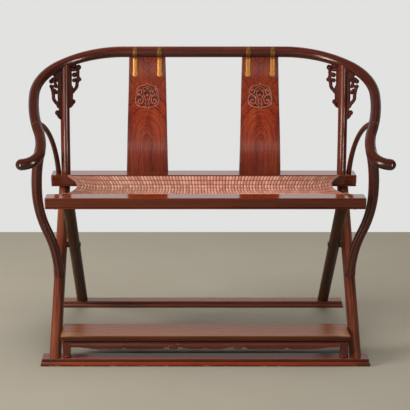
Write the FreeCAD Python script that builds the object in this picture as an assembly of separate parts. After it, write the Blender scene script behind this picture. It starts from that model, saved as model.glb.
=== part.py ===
"""Two-seat folding chair with a horseshoe back, in millimetres.

+Z is up, the front faces -Y, and the origin is on the floor at the middle of the footprint.
Two pairs of crossed legs turn on pivot pins. The outer pair carries the back and the rear seat
rail, and the inner pair carries the front seat rail. A woven web hangs between the seat rails,
and a footrest turns on two pins in the outer legs.
"""
import FreeCAD, Part
import math
import os

V = FreeCAD.Vector

# Overall sizes
OVERALL_HEIGHT = 948.0
FOOTPRINT_DEPTH = 640.0
SEAT_HEIGHT = 522.0
OUTER_LEG_SPACING = 960.0

# Base rails on the floor
FRONT_BASE_OVERHANG = 45.0
FRONT_BASE_WIDTH = 64.0
FRONT_BASE_HEIGHT = 23.0
REAR_BASE_OVERHANG = 29.0
REAR_BASE_WIDTH = 55.0
REAR_BASE_HEIGHT = 23.0
BASE_FLARE = 4.0
BASE_LIP_HEIGHT = 11.0

# Seat rails
SEAT_SPREAD = 342.0
FRONT_SEAT_RAIL_OVERHANG = 31.5
FRONT_SEAT_RAIL_DEPTH = 62.0
FRONT_SEAT_RAIL_HEIGHT = 36.5
REAR_SEAT_RAIL_OVERHANG = 43.5
REAR_SEAT_RAIL_DEPTH = 78.0
REAR_SEAT_RAIL_HEIGHT = 40.0
SEAT_RAIL_ROUNDING = 3.0

# Legs and their pivots
LEG_DIAMETER = 38.0
LEG_GAP = 5.0
PIVOT_PIN_DIAMETER = 10.0
PIVOT_HEAD_DIAMETER = 15.0
PIVOT_HEAD_THICKNESS = 3.5
PIVOT_SPACER_DIAMETER = 20.0
PIVOT_WASHER_DIAMETER = 22.0
PIVOT_WASHER_THICKNESS = 2.5

# Crest rail, in a plane that falls towards the front
CREST_DIAMETER = 36.0
CREST_SETBACK = 79.0
CREST_SLOPE_ANGLE = 31.7
CREST_OVERHANG = 84.5
SHOULDER_RADIUS = 355.0
SHOULDER_TURN_ANGLE = 37.7
CORNER_RADIUS = 189.0
ARM_RADIUS = 587.0
ARM_TURN_ANGLE = 17.8
WRIST_RADIUS = 259.0
WRIST_LENGTH = 18.0
GRIP_RADIUS = 58.0
GRIP_TURN_ANGLE = 80.0
GRIP_LENGTH = 6.0
GRIP_BALL_DIAMETER = 37.0
SCARF_LENGTH = 60.0
SCARF_SPLAT_GAP = 8.0
LOCK_PEG_DIAMETER = 6.0

# Back posts
POST_INSET = 6.5
POST_DIAMETER = 30.0
POST_SETBACK = 14.0

# Back splats
SPLAT_INSET = 286.0
SPLAT_FOOT_WIDTH = 143.0
SPLAT_HEAD_WIDTH = 124.0
SPLAT_THICKNESS = 14.0
SPLAT_SETBACK = 6.0

# Brass straps on the splats
STRAP_WIDTH = 15.0
STRAP_THICKNESS = 1.2
STRAP_DROP = 70.0
STRAP_END_DIAMETER = 20.0
STRAP_SPACING = 84.0
NAIL_DIAMETER = 1.6
NAIL_LENGTH = 8.0
NAIL_HEAD_DIAMETER = 4.0
NAIL_HEAD_THICKNESS = 1.2

# Scroll brackets beside the back posts
BRACKET_THICKNESS = 10.0
BRACKET_SPINE_WIDTH = 5.0
BRACKET_STROKE = 6.0
BRACKET_REACH = 33.0
BRACKET_LOOP_TOP = 12.0
BRACKET_LOOP_HEIGHT = 78.0
BRACKET_BAR_SHARE = 0.58
BRACKET_LENGTH = 151.0
BRACKET_HOOK_RISE = 21.0
BRACKET_BLOCK_HEIGHT = 18.0
BRACKET_BLOCK_WIDTH = 19.0
OUTER_BRACKET_DROP = 33.0
BRACKET_KNOB_DIAMETER = 13.0

# Arm posts
ARM_POST_DIAMETER = 34.0
ARM_POST_FOOT_HEIGHT = 232.0
ARM_POST_FOOT_ADVANCE = 14.0
ARM_POST_FOOT_LENGTH = 10.0
ARM_POST_BELLY_HEIGHT = 540.0
ARM_POST_RAIL_GAP = 13.0

# Side braces
BRACE_DIAMETER = 18.0
BRACE_POST_OFFSET = 25.5
BRACE_SETBACK = 11.0
BRACE_LEAN_ANGLE = 25.0
BRACE_SCARF_GAP = 15.0

# Footrest
FOOTREST_DEPTH = 122.0
FOOTREST_SETBACK = 9.0
FOOTREST_TOP_HEIGHT = 99.0
FOOTREST_BOARD_THICKNESS = 16.0
FOOTREST_SIDE_GAP = 1.0
FOOTREST_ROUNDING = 4.0
FOOTREST_PIN_DIAMETER = 8.0
FOOTREST_PIN_DEPTH = 20.0
WAIST_HEIGHT = 6.0
WAIST_INSET = 9.0
APRON_HEIGHT = 24.0
APRON_INSET = 4.0
APRON_THICKNESS = 12.0
APRON_MIDDLE_NOTCH_WIDTH = 26.0
APRON_MIDDLE_NOTCH_RISE = 5.0
APRON_LEAF_NOTCH_OFFSET = 80.0
APRON_LEAF_NOTCH_WIDTH = 32.0
APRON_LEAF_NOTCH_RISE = 8.0
APRON_SIDE_NOTCH_OFFSET = 259.0
APRON_SIDE_NOTCH_WIDTH = 18.0
APRON_SIDE_NOTCH_RISE = 4.5
FOOT_WIDTH = 28.0
FOOT_NECK_WIDTH = 21.0
FOOT_DEPTH = 26.0
FOOT_PAD_DIAMETER = 27.0
FOOT_PAD_HEIGHT = 9.0

# Seat web and the pegs that hold its cords
WEB_INSET = 26.0
WEB_WAIST_DEPTH = 34.0
WEB_THICKNESS = 9.0
WEB_SAG = 12.0
WEB_DROP = 0.5
CORD_PEG_DIAMETER = 8.0
CORD_PEG_LENGTH = 7.0
CORD_PEG_INSET = 32.0

# Tenons, and the clearances of every fit
TENON_WIDTH = 12.0
TENON_LENGTH = 26.0
TENON_DEPTH = 15.0
ROUND_TENON_DIAMETER = 12.0
ROUND_TENON_DEPTH = 10.0
BRACE_TENON_DIAMETER = 8.0
TONGUE_THICKNESS = 6.0
TONGUE_SHOULDER = 10.0
TONGUE_DEPTH = 9.0
JOINT_CLEARANCE = 0.1
TURNING_CLEARANCE = 0.1
FACE_CLEARANCE = 0.3

# Places that follow from the sizes above
LEG_RADIUS = LEG_DIAMETER / 2
CREST_RADIUS = CREST_DIAMETER / 2
FRONT_BASE_Y = FRONT_BASE_WIDTH / 2 - FOOTPRINT_DEPTH / 2
REAR_BASE_Y = FOOTPRINT_DEPTH / 2 - REAR_BASE_WIDTH / 2
FRONT_SEAT_Y = -SEAT_SPREAD / 2
REAR_SEAT_Y = SEAT_SPREAD / 2
FRONT_SEAT_UNDERSIDE = SEAT_HEIGHT - FRONT_SEAT_RAIL_HEIGHT
REAR_SEAT_UNDERSIDE = SEAT_HEIGHT - REAR_SEAT_RAIL_HEIGHT
OUTER_LEG_X = OUTER_LEG_SPACING / 2
INNER_LEG_X = OUTER_LEG_X - LEG_DIAMETER - LEG_GAP
FRONT_BASE_LENGTH = OUTER_LEG_SPACING + 2 * FRONT_BASE_OVERHANG
REAR_BASE_LENGTH = OUTER_LEG_SPACING + 2 * REAR_BASE_OVERHANG
FRONT_SEAT_RAIL_LENGTH = OUTER_LEG_SPACING + 2 * FRONT_SEAT_RAIL_OVERHANG
REAR_SEAT_RAIL_LENGTH = OUTER_LEG_SPACING + 2 * REAR_SEAT_RAIL_OVERHANG
POST_X = OUTER_LEG_X - POST_INSET
SPLAT_X = OUTER_LEG_X - SPLAT_INSET
WEB_HALF = OUTER_LEG_X - WEB_INSET
CORD_PEG_X = FRONT_SEAT_RAIL_LENGTH / 2 - CORD_PEG_INSET
OUTER_LEG_ENDS = (V(0, FRONT_BASE_Y, FRONT_BASE_HEIGHT), V(0, REAR_SEAT_Y, REAR_SEAT_UNDERSIDE))
INNER_LEG_ENDS = (V(0, REAR_BASE_Y, REAR_BASE_HEIGHT), V(0, FRONT_SEAT_Y, FRONT_SEAT_UNDERSIDE))
CREST_BACK = V(0, REAR_SEAT_Y + CREST_SETBACK, OVERALL_HEIGHT - CREST_RADIUS)
ALONG_X = V(1, 0, 0)
ALONG_Y = V(0, 1, 0)
ALONG_Z = V(0, 0, 1)


def box(x0, x1, y0, y1, z0, z1):
    """A block between two corners."""
    return Part.makeBox(x1 - x0, y1 - y0, z1 - z0, V(x0, y0, z0))


def rod(start, end, diameter):
    """A round bar between two points."""
    run = end - start
    return Part.makeCylinder(diameter / 2, run.Length, start, run)


def mirrored(shape):
    """The left twin of a piece on the right."""
    return shape.mirror(V(0, 0, 0), ALONG_X)


def largest(shape):
    """The main solid of a cut piece, without the offcuts."""
    return max(shape.Solids, key=lambda solid: solid.Volume)


def meeting_point(first, second):
    """Where two lines in the side view cross."""
    run_a = first[1] - first[0]
    run_b = second[1] - second[0]
    apart = second[0] - first[0]
    share = (apart.y * run_b.z - apart.z * run_b.y) / (run_a.y * run_b.z - run_a.z * run_b.y)
    return first[0] + run_a * share


def point_at_height(ends, height):
    """The point of a leg's centre line at a height."""
    run = ends[1] - ends[0]
    return ends[0] + run * ((height - ends[0].z) / run.z)


class PlanarPath:
    """Straight runs and tangent arcs in one plane, measured by the length along them."""

    def __init__(self, start, heading, side):
        self.normal = heading.cross(side)
        self.runs = []
        self.length = 0.0
        self.end = start
        self.heading = heading

    def line(self, length):
        return self._run(length, 0.0)

    def arc(self, radius, turn):
        """A positive turn, in degrees, goes towards the side that the path was given."""
        return self._run(radius * abs(math.radians(turn)), math.copysign(1.0 / radius, turn))

    def _run(self, length, bend):
        self.runs.append((self.length, length, bend, self.end, self.heading))
        self.length += length
        self.end, self.heading = self.at(self.length)
        return self

    def at(self, distance):
        """The point and the heading at a distance along the path."""
        for begin, length, bend, start, heading in self.runs:
            if distance <= begin + length:
                break
        gone = distance - begin
        across = self.normal.cross(heading)
        if bend == 0.0:
            return start + heading * gone, heading
        turn = bend * gone
        point = start + (heading * math.sin(turn) + across * (1 - math.cos(turn))) * (1 / bend)
        return point, heading * math.cos(turn) + across * math.sin(turn)

    def edges(self, low, high, offset=0.0):
        """The path's edges between two distances, moved sideways by an offset."""
        made = []
        for begin, length, bend, _, _ in self.runs:
            ends = (max(low, begin), min(high, begin + length))
            if ends[1] - ends[0] < 1e-6:
                continue
            stops = (ends[0], sum(ends) / 2, ends[1])
            points = []
            for stop in stops:
                point, heading = self.at(stop)
                points.append(point + self.normal.cross(heading) * offset)
            curve = Part.Arc(*points) if bend else Part.LineSegment(points[0], points[2])
            made.append(curve.toShape())
        return made

    def tube(self, low, high, diameter):
        """A round bar along part of the path."""
        start, heading = self.at(low)
        ring = Part.Wire([Part.Circle(start, heading, diameter / 2).toShape()])
        return Part.Wire(self.edges(low, high)).makePipeShell([ring], True, False)

    def half_channel(self, low, high, size, sign):
        """A square bar along part of the path, all on one side of the path's plane."""
        start, heading = self.at(low)
        across = self.normal.cross(heading) * size
        up = self.normal * (sign * size)
        corners = [start - across, start + across, start + across + up, start - across + up]
        ring = Part.makePolygon(corners + corners[:1])
        return Part.Wire(self.edges(low, high)).makePipeShell([ring], True, False)

    def band(self, low, high, inner, outer, start, width):
        """A flat strip between two offsets of the path, pulled out along the plane's normal."""
        first = self.edges(low, high, inner)
        second = self.edges(low, high, outer)
        ends = [
            Part.LineSegment(first[-1].lastVertex(True).Point, second[-1].lastVertex(True).Point),
            Part.LineSegment(second[0].firstVertex(True).Point, first[0].firstVertex(True).Point),
        ]
        loop = Part.__sortEdges__(first + second + [line.toShape() for line in ends])
        face = Part.Face(Part.Wire(loop))
        face.translate(self.normal * start)
        return face.extrude(self.normal * width)


def bow(start, heading, target):
    """The one arc that leaves a point along a heading and reaches a target."""
    reach = target - start
    ahead = reach.dot(heading)
    side = reach - heading * ahead
    sideways = side.Length
    path = PlanarPath(start, heading, side.normalize())
    radius = (ahead ** 2 + sideways ** 2) / (2 * sideways)
    return path.arc(radius, 2 * math.degrees(math.atan2(sideways, ahead)))


def crest_path():
    """The right half of the crest rail's centre line, from the middle of the back to the grip."""
    slope = math.radians(CREST_SLOPE_ANGLE)
    path = PlanarPath(CREST_BACK, ALONG_X, V(0, -math.cos(slope), -math.sin(slope)))
    shoulder = math.sin(math.radians(SHOULDER_TURN_ANGLE))
    bends = SHOULDER_RADIUS * shoulder + CORNER_RADIUS * (1 - shoulder)
    path.line(OUTER_LEG_X + CREST_OVERHANG - bends)
    path.arc(SHOULDER_RADIUS, SHOULDER_TURN_ANGLE)
    path.arc(CORNER_RADIUS, 90 - SHOULDER_TURN_ANGLE)
    path.widest = path.length
    path.arc(ARM_RADIUS, ARM_TURN_ANGLE)
    path.wrist_start = path.length
    path.arc(WRIST_RADIUS, -ARM_TURN_ANGLE)
    path.wrist_end = path.length
    path.line(WRIST_LENGTH)
    path.arc(GRIP_RADIUS, -GRIP_TURN_ANGLE)
    path.line(GRIP_LENGTH)
    return path


CREST = crest_path()
SPLAT_EDGE = SPLAT_X + SPLAT_HEAD_WIDTH / 2
BACK_SCARF = (SPLAT_EDGE + SCARF_SPLAT_GAP, SPLAT_EDGE + SCARF_SPLAT_GAP + SCARF_LENGTH)
ARM_SCARF = (CREST.wrist_start - SCARF_LENGTH / 2, CREST.wrist_start + SCARF_LENGTH / 2)
PIVOT = meeting_point(OUTER_LEG_ENDS, INNER_LEG_ENDS)


def crest_length_at_x(x):
    """How far along the crest rail its centre line reaches a distance from the middle."""
    low = 0.0
    high = CREST.widest
    while high - low > 1e-7:
        middle = (low + high) / 2
        if CREST.at(middle)[0].x < x:
            low = middle
        else:
            high = middle
    return low


def crest_envelope(low, high, extra):
    """The crest rail's outside over part of its length, grown by a clearance."""
    return CREST.tube(max(low, 0.0), min(high, CREST.length), CREST_DIAMETER + 2 * extra)


def end_tenon(path, diameter, depth, extra=0.0):
    """A round tenon on the end of a bar whose path stops at the crest rail's centre line."""
    tip, heading = path.at(path.length)
    back = tip - heading * (CREST_RADIUS + depth)
    front = tip - heading * (CREST_RADIUS - depth - extra)
    return rod(back, front, diameter + 2 * extra)


def post_path():
    """A back post leaves the rear seat rail upright and bows back to the crest rail."""
    start = V(POST_X, REAR_SEAT_Y - POST_SETBACK, SEAT_HEIGHT)
    target = CREST.at(crest_length_at_x(POST_X))[0]
    return bow(start, ALONG_Z, target)


def splat_path():
    """A splat's side profile: two equal arcs in an S, from the seat rail to the crest rail."""
    start = V(0, REAR_SEAT_Y + SPLAT_SETBACK, SEAT_HEIGHT)
    rise = (CREST_BACK.z - start.z) / 2
    back = (CREST_BACK.y - start.y) / 2
    path = PlanarPath(start, ALONG_Z, ALONG_Y)
    radius = (rise ** 2 + back ** 2) / (2 * back)
    turn = 2 * math.degrees(math.atan2(back, rise))
    return path.arc(radius, turn).arc(radius, -turn)


def arm_post_path():
    """An arm post leaves the outer leg, swells out past the seat rail and bends in to the arm."""
    seat = point_at_height(OUTER_LEG_ENDS, ARM_POST_FOOT_HEIGHT)
    foot = V(OUTER_LEG_X, seat.y - ARM_POST_FOOT_ADVANCE, ARM_POST_FOOT_HEIGHT)
    top = CREST.at(CREST.wrist_end)[0]
    rise = V(0, top.y - foot.y, top.z - foot.z)
    height = rise.Length
    rise.normalize()
    belly_x = FRONT_SEAT_RAIL_LENGTH / 2 + ARM_POST_RAIL_GAP + ARM_POST_DIAMETER / 2
    belly = (ARM_POST_BELLY_HEIGHT - foot.z) / rise.z
    path = PlanarPath(foot, rise, ALONG_X)
    path.line(ARM_POST_FOOT_LENGTH)
    out = (belly_x - foot.x) / 2
    up = (belly - ARM_POST_FOOT_LENGTH) / 2
    radius = (up ** 2 + out ** 2) / (2 * out)
    turn = 2 * math.degrees(math.atan2(out, up))
    path.arc(radius, turn).arc(radius, -turn)
    inward = belly_x - top.x
    left = height - belly
    radius = (left ** 2 + inward ** 2) / (2 * inward)
    return path.arc(radius, -2 * math.degrees(math.atan2(inward, left)))


def brace_path():
    """A side brace leaves the rear seat rail leaning forward and bows to the arm."""
    foot = V(POST_X + BRACE_POST_OFFSET, REAR_SEAT_Y - BRACE_SETBACK, SEAT_HEIGHT)
    target = CREST.at(ARM_SCARF[0] - BRACE_SCARF_GAP)[0]
    towards = V(target.x - foot.x, target.y - foot.y, 0).normalize()
    lean = math.radians(BRACE_LEAN_ANGLE)
    return bow(foot, towards * math.sin(lean) + ALONG_Z * math.cos(lean), target)


POST = post_path()
SPLAT = splat_path()
ARM_POST = arm_post_path()
BRACE = brace_path()


def leg_tenons(x, ends, extra=0.0):
    """The two upright tenons of a leg, or their mortises when grown by a clearance."""
    made = []
    for point, sign in zip(ends, (-1, 1)):
        heights = sorted((point.z - sign * extra, point.z + sign * (TENON_DEPTH + extra)))
        half_x = TENON_WIDTH / 2 + extra
        half_y = TENON_LENGTH / 2 + extra
        made.append(box(x - half_x, x + half_x, point.y - half_y, point.y + half_y, *heights))
    return made


def spot_face_depth(diameter):
    """How deep a flat seat for a round piece goes into the side of a round leg."""
    return LEG_RADIUS - math.sqrt(LEG_RADIUS ** 2 - (diameter / 2) ** 2)


SPACER_SEAT = spot_face_depth(PIVOT_SPACER_DIAMETER + 2 * FACE_CLEARANCE)
WASHER_SEAT = spot_face_depth(PIVOT_WASHER_DIAMETER + 2 * FACE_CLEARANCE)


def across_pivot(x0, x1, diameter):
    """A round bar along the pivot's axis."""
    return rod(V(x0, PIVOT.y, PIVOT.z), V(x1, PIVOT.y, PIVOT.z), diameter)


def leg_bar(x, ends):
    """A round leg cut level at the two rails that it stands between."""
    run = (ends[1] - ends[0]).normalize() * (2 * LEG_DIAMETER)
    shift = V(x, 0, 0)
    bar = rod(ends[0] - run + shift, ends[1] + run + shift, LEG_DIAMETER)
    reach = FOOTPRINT_DEPTH
    leg = bar.common(box(x - reach, x + reach, -reach, reach, ends[0].z, ends[1].z))
    for tenon in leg_tenons(x, ends):
        leg = leg.fuse(tenon)
    return leg.removeSplitter()


def outer_leg():
    """An outer leg, bored for the pivot and the footrest pin and notched for the arm post."""
    x = OUTER_LEG_X
    leg = leg_bar(x, OUTER_LEG_ENDS)
    bore = PIVOT_PIN_DIAMETER + 2 * JOINT_CLEARANCE
    leg = leg.cut(across_pivot(x - LEG_DIAMETER, x + LEG_DIAMETER, bore))
    spacer = PIVOT_SPACER_DIAMETER + 2 * FACE_CLEARANCE
    leg = leg.cut(across_pivot(x - LEG_DIAMETER, x - LEG_RADIUS + SPACER_SEAT, spacer))
    washer = PIVOT_WASHER_DIAMETER + 2 * FACE_CLEARANCE
    leg = leg.cut(across_pivot(x + LEG_RADIUS - WASHER_SEAT, x + LEG_DIAMETER, washer))
    leg = leg.cut(ARM_POST.tube(0, ARM_POST.length, ARM_POST_DIAMETER + 2 * JOINT_CLEARANCE))
    leg = leg.cut(arm_post_foot_tenon(JOINT_CLEARANCE))
    return largest(leg.cut(footrest_pin_bar(JOINT_CLEARANCE)))


def inner_leg():
    """An inner leg, which turns on the pivot pin."""
    x = INNER_LEG_X
    leg = leg_bar(x, INNER_LEG_ENDS)
    bore = PIVOT_PIN_DIAMETER + 2 * TURNING_CLEARANCE
    leg = leg.cut(across_pivot(x - LEG_DIAMETER, x + LEG_DIAMETER, bore))
    spacer = PIVOT_SPACER_DIAMETER + 2 * FACE_CLEARANCE
    leg = leg.cut(across_pivot(x + LEG_RADIUS - SPACER_SEAT, x + LEG_DIAMETER, spacer))
    washer = PIVOT_WASHER_DIAMETER + 2 * FACE_CLEARANCE
    return leg.cut(across_pivot(x - LEG_DIAMETER, x - LEG_RADIUS + WASHER_SEAT, washer))


def pivot_pieces():
    """A pivot's pin with its two heads, its spacer and its two washers."""
    outer_seat = OUTER_LEG_X + LEG_RADIUS - WASHER_SEAT
    inner_seat = INNER_LEG_X - LEG_RADIUS + WASHER_SEAT - FACE_CLEARANCE
    outer_head = outer_seat + PIVOT_WASHER_THICKNESS
    inner_head = inner_seat - PIVOT_WASHER_THICKNESS
    pin = across_pivot(inner_head, outer_head, PIVOT_PIN_DIAMETER)
    pin = pin.fuse(across_pivot(outer_head, outer_head + PIVOT_HEAD_THICKNESS, PIVOT_HEAD_DIAMETER))
    pin = pin.fuse(across_pivot(inner_head - PIVOT_HEAD_THICKNESS, inner_head, PIVOT_HEAD_DIAMETER))
    hole = across_pivot(inner_head, outer_head, PIVOT_PIN_DIAMETER + 2 * JOINT_CLEARANCE)
    spacer = across_pivot(
        INNER_LEG_X + LEG_RADIUS - SPACER_SEAT + FACE_CLEARANCE,
        OUTER_LEG_X - LEG_RADIUS + SPACER_SEAT,
        PIVOT_SPACER_DIAMETER,
    )
    outer_washer = across_pivot(outer_seat, outer_head, PIVOT_WASHER_DIAMETER)
    inner_washer = across_pivot(inner_head, inner_seat, PIVOT_WASHER_DIAMETER)
    return {
        "pivot_pin": pin.removeSplitter(),
        "pivot_spacer": spacer.cut(hole),
        "pivot_outer_washer": outer_washer.cut(hole),
        "pivot_inner_washer": inner_washer.cut(hole),
    }


def level_rectangle(length, width, y, z):
    """A level outline centred on the chair's middle."""
    x = length / 2
    half = width / 2
    corners = [V(-x, y - half, z), V(x, y - half, z), V(x, y + half, z), V(-x, y + half, z)]
    return Part.makePolygon(corners + corners[:1])


def base_rail(length, width, height, y, leg_x, ends):
    """A floor rail whose lower part flares out below a small step, with its two mortises."""
    step = height - BASE_LIP_HEIGHT
    foot = level_rectangle(length, width, y, 0)
    shoulder = level_rectangle(length - BASE_FLARE, width - BASE_FLARE, y, step)
    rail = Part.makeLoft([foot, shoulder], True, True)
    half_x = length / 2 - BASE_FLARE
    half_y = width / 2 - BASE_FLARE
    rail = rail.fuse(box(-half_x, half_x, y - half_y, y + half_y, step, height)).removeSplitter()
    for x in (-leg_x, leg_x):
        rail = rail.cut(leg_tenons(x, ends, JOINT_CLEARANCE)[0])
    return rail


def front_base_rail():
    return base_rail(
        FRONT_BASE_LENGTH, FRONT_BASE_WIDTH, FRONT_BASE_HEIGHT, FRONT_BASE_Y, OUTER_LEG_X, OUTER_LEG_ENDS
    )


def rear_base_rail():
    return base_rail(
        REAR_BASE_LENGTH, REAR_BASE_WIDTH, REAR_BASE_HEIGHT, REAR_BASE_Y, INNER_LEG_X, INNER_LEG_ENDS
    )


def seat_rail(length, depth, height, y):
    """A seat rail with rounded long edges."""
    rail = box(-length / 2, length / 2, y - depth / 2, y + depth / 2, SEAT_HEIGHT - height, SEAT_HEIGHT)
    long_edges = [edge for edge in rail.Edges if abs(edge.Length - length) < 1e-6]
    return rail.makeFillet(SEAT_RAIL_ROUNDING, long_edges)


def cord_peg(x, extra=0.0):
    """A peg in the underside of the front seat rail, which holds a cord of the web."""
    low = FRONT_SEAT_UNDERSIDE - CORD_PEG_LENGTH
    high = FRONT_SEAT_UNDERSIDE + CORD_PEG_LENGTH + extra
    return rod(V(x, FRONT_SEAT_Y, low), V(x, FRONT_SEAT_Y, high), CORD_PEG_DIAMETER + 2 * extra)


def front_seat_rail():
    rail = seat_rail(
        FRONT_SEAT_RAIL_LENGTH, FRONT_SEAT_RAIL_DEPTH, FRONT_SEAT_RAIL_HEIGHT, FRONT_SEAT_Y
    )
    for sign in (-1, 1):
        rail = rail.cut(leg_tenons(sign * INNER_LEG_X, INNER_LEG_ENDS, JOINT_CLEARANCE)[1])
        rail = rail.cut(cord_peg(sign * CORD_PEG_X, JOINT_CLEARANCE))
    return rail


def foot_tenon(point, diameter, extra=0.0):
    """An upright round tenon that goes down into the rear seat rail."""
    low = point - ALONG_Z * (ROUND_TENON_DEPTH + extra)
    return rod(low, point + ALONG_Z * extra, diameter + 2 * extra)


def rear_seat_rail():
    """The rear seat rail, mortised for legs, posts, braces and splats."""
    rail = seat_rail(
        REAR_SEAT_RAIL_LENGTH, REAR_SEAT_RAIL_DEPTH, REAR_SEAT_RAIL_HEIGHT, REAR_SEAT_Y
    )
    right = [
        leg_tenons(OUTER_LEG_X, OUTER_LEG_ENDS, JOINT_CLEARANCE)[1],
        foot_tenon(POST.at(0)[0], ROUND_TENON_DIAMETER, JOINT_CLEARANCE),
        foot_tenon(BRACE.at(0)[0], BRACE_TENON_DIAMETER, JOINT_CLEARANCE),
        splat_foot_tongue(JOINT_CLEARANCE),
    ]
    for cutter in right:
        rail = rail.cut(cutter).cut(mirrored(cutter))
    return rail


def splat_foot_tongue(extra=0.0):
    """The tongue under a splat, or its groove when grown by a clearance."""
    x = SPLAT_X
    y = REAR_SEAT_Y + SPLAT_SETBACK
    half_x = SPLAT_FOOT_WIDTH / 2 - TONGUE_SHOULDER + extra
    half_y = TONGUE_THICKNESS / 2 + extra
    low = SEAT_HEIGHT - TONGUE_DEPTH - extra
    return box(x - half_x, x + half_x, y - half_y, y + half_y, low, SEAT_HEIGHT + extra)


def splat_head_tongue(extra=0.0):
    """The tongue on top of a splat, which stops inside the crest rail."""
    half_x = SPLAT_HEAD_WIDTH / 2 - TONGUE_SHOULDER + extra
    half_y = TONGUE_THICKNESS / 2 + extra
    start = SPLAT_X - half_x
    low = SPLAT.length - CREST_RADIUS - TONGUE_DEPTH
    strip = across_x(SPLAT, low, -half_y, half_y, start, 2 * half_x)
    core = crest_envelope(0, BACK_SCARF[1], -TONGUE_DEPTH - extra)
    return strip.cut(core)


def across_x(path, low, inner, outer, start, width):
    """A strip of a side profile, from one distance to its end, between two places along X."""
    facing = path.normal.x
    if facing > 0:
        return path.band(low, path.length, inner, outer, start, width)
    return path.band(low, path.length, inner, outer, -start - width, width)


def splat():
    """A back splat: an S-shaped board that narrows upwards, with a tongue at each end."""
    x = SPLAT_X
    half = SPLAT_THICKNESS / 2
    foot = SPLAT_FOOT_WIDTH / 2
    head = SPLAT_HEAD_WIDTH / 2
    board = across_x(SPLAT, 0, -half, half, x - foot, SPLAT_FOOT_WIDTH)
    outline = [
        V(x - foot, -FOOTPRINT_DEPTH, SEAT_HEIGHT),
        V(x + foot, -FOOTPRINT_DEPTH, SEAT_HEIGHT),
        V(x + head, -FOOTPRINT_DEPTH, CREST_BACK.z),
        V(x - head, -FOOTPRINT_DEPTH, CREST_BACK.z),
    ]
    trapezium = Part.Face(Part.makePolygon(outline + outline[:1]))
    board = board.common(trapezium.extrude(V(0, 2 * FOOTPRINT_DEPTH, 0)))
    board = largest(board.cut(crest_envelope(0, BACK_SCARF[1], JOINT_CLEARANCE)))
    board = board.fuse(splat_head_tongue()).fuse(splat_foot_tongue()).removeSplitter()
    for nail in strap_nails(JOINT_CLEARANCE):
        board = board.cut(nail)
    return largest(board)


def strap_xs():
    """Where the two straps of the right splat lie."""
    return (SPLAT_X - STRAP_SPACING / 2, SPLAT_X + STRAP_SPACING / 2)


def strap_foot():
    """The point of the splat's profile where a strap's round end is centred."""
    distance = SPLAT.length - CREST_RADIUS - STRAP_DROP + STRAP_END_DIAMETER / 2
    return SPLAT.at(distance)[0]


def strap(x):
    """A brass strap round the front of the crest rail and down a splat, with a round end."""
    back = SPLAT_THICKNESS / 2 + JOINT_CLEARANCE
    front = back + STRAP_THICKNESS
    inner = crest_envelope(0, BACK_SCARF[1], JOINT_CLEARANCE)
    outer = crest_envelope(0, BACK_SCARF[1], JOINT_CLEARANCE + STRAP_THICKNESS)
    half = STRAP_WIDTH / 2
    window = box(
        x - half, x + half,
        CREST_BACK.y - CREST_DIAMETER, CREST_BACK.y - back,
        CREST_BACK.z - CREST_DIAMETER, CREST_BACK.z + CREST_DIAMETER,
    )
    low = SPLAT.length - CREST_RADIUS - STRAP_DROP
    behind = across_x(SPLAT, low, -back, back, x - STRAP_END_DIAMETER / 2, STRAP_END_DIAMETER)
    ring = outer.cut(inner).common(window).cut(behind)
    strip = across_x(SPLAT, low, -front, -back, x - STRAP_END_DIAMETER / 2, STRAP_END_DIAMETER)
    foot = strap_foot()
    outline = box(x - half, x + half, -FOOTPRINT_DEPTH, FOOTPRINT_DEPTH, foot.z, OVERALL_HEIGHT)
    reach = ALONG_Y * FOOTPRINT_DEPTH
    disc = rod(V(x, 0, foot.z) - reach, V(x, 0, foot.z) + reach, STRAP_END_DIAMETER)
    tail = strip.common(outline.fuse(disc)).cut(inner)
    made = ring.fuse(tail).removeSplitter()
    for nail in strap_nails(JOINT_CLEARANCE):
        made = made.cut(nail)
    return largest(made)


def nail_seats():
    """The points on the faces of the right-hand straps where their nails go in."""
    seats = []
    foot = strap_foot()
    top = SPLAT.at(SPLAT.length - CREST_RADIUS - STRAP_END_DIAMETER / 2)[0]
    proud = SPLAT_THICKNESS / 2 + JOINT_CLEARANCE + STRAP_THICKNESS
    rail_front = CREST_BACK.y - CREST_RADIUS - JOINT_CLEARANCE - STRAP_THICKNESS
    for x in strap_xs():
        for point in (foot, top):
            seats.append(V(x, point.y - proud, point.z))
        seats.append(V(x, rail_front, CREST_BACK.z))
    return seats


def strap_nails(extra=0.0):
    """The nails of the right-hand straps, or their holes when grown by a clearance."""
    made = []
    for seat in nail_seats():
        face = seat - ALONG_Y * FACE_CLEARANCE
        tip = seat + ALONG_Y * (NAIL_LENGTH + extra)
        shank = rod(face, tip, NAIL_DIAMETER + 2 * extra)
        if not extra:
            shank = shank.fuse(rod(face - ALONG_Y * NAIL_HEAD_THICKNESS, face, NAIL_HEAD_DIAMETER))
        made.append(shank)
    return made


def back_post():
    """A back post, coped to the crest rail, with a round tenon at each end."""
    along = crest_length_at_x(POST_X)
    post = POST.tube(0, POST.length, POST_DIAMETER)
    around = 4 * CREST_DIAMETER
    post = largest(post.cut(crest_envelope(along - around, along + around, JOINT_CLEARANCE)))
    post = post.fuse(end_tenon(POST, ROUND_TENON_DIAMETER, ROUND_TENON_DEPTH))
    return post.fuse(foot_tenon(POST.at(0)[0], ROUND_TENON_DIAMETER)).removeSplitter()


def arm_post_foot_tenon(extra=0.0):
    """The round tenon under an arm post, which goes down into the outer leg."""
    foot, heading = ARM_POST.at(0)
    low = foot - heading * (ROUND_TENON_DEPTH + extra)
    return rod(low, foot, ROUND_TENON_DIAMETER + 2 * extra)


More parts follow.
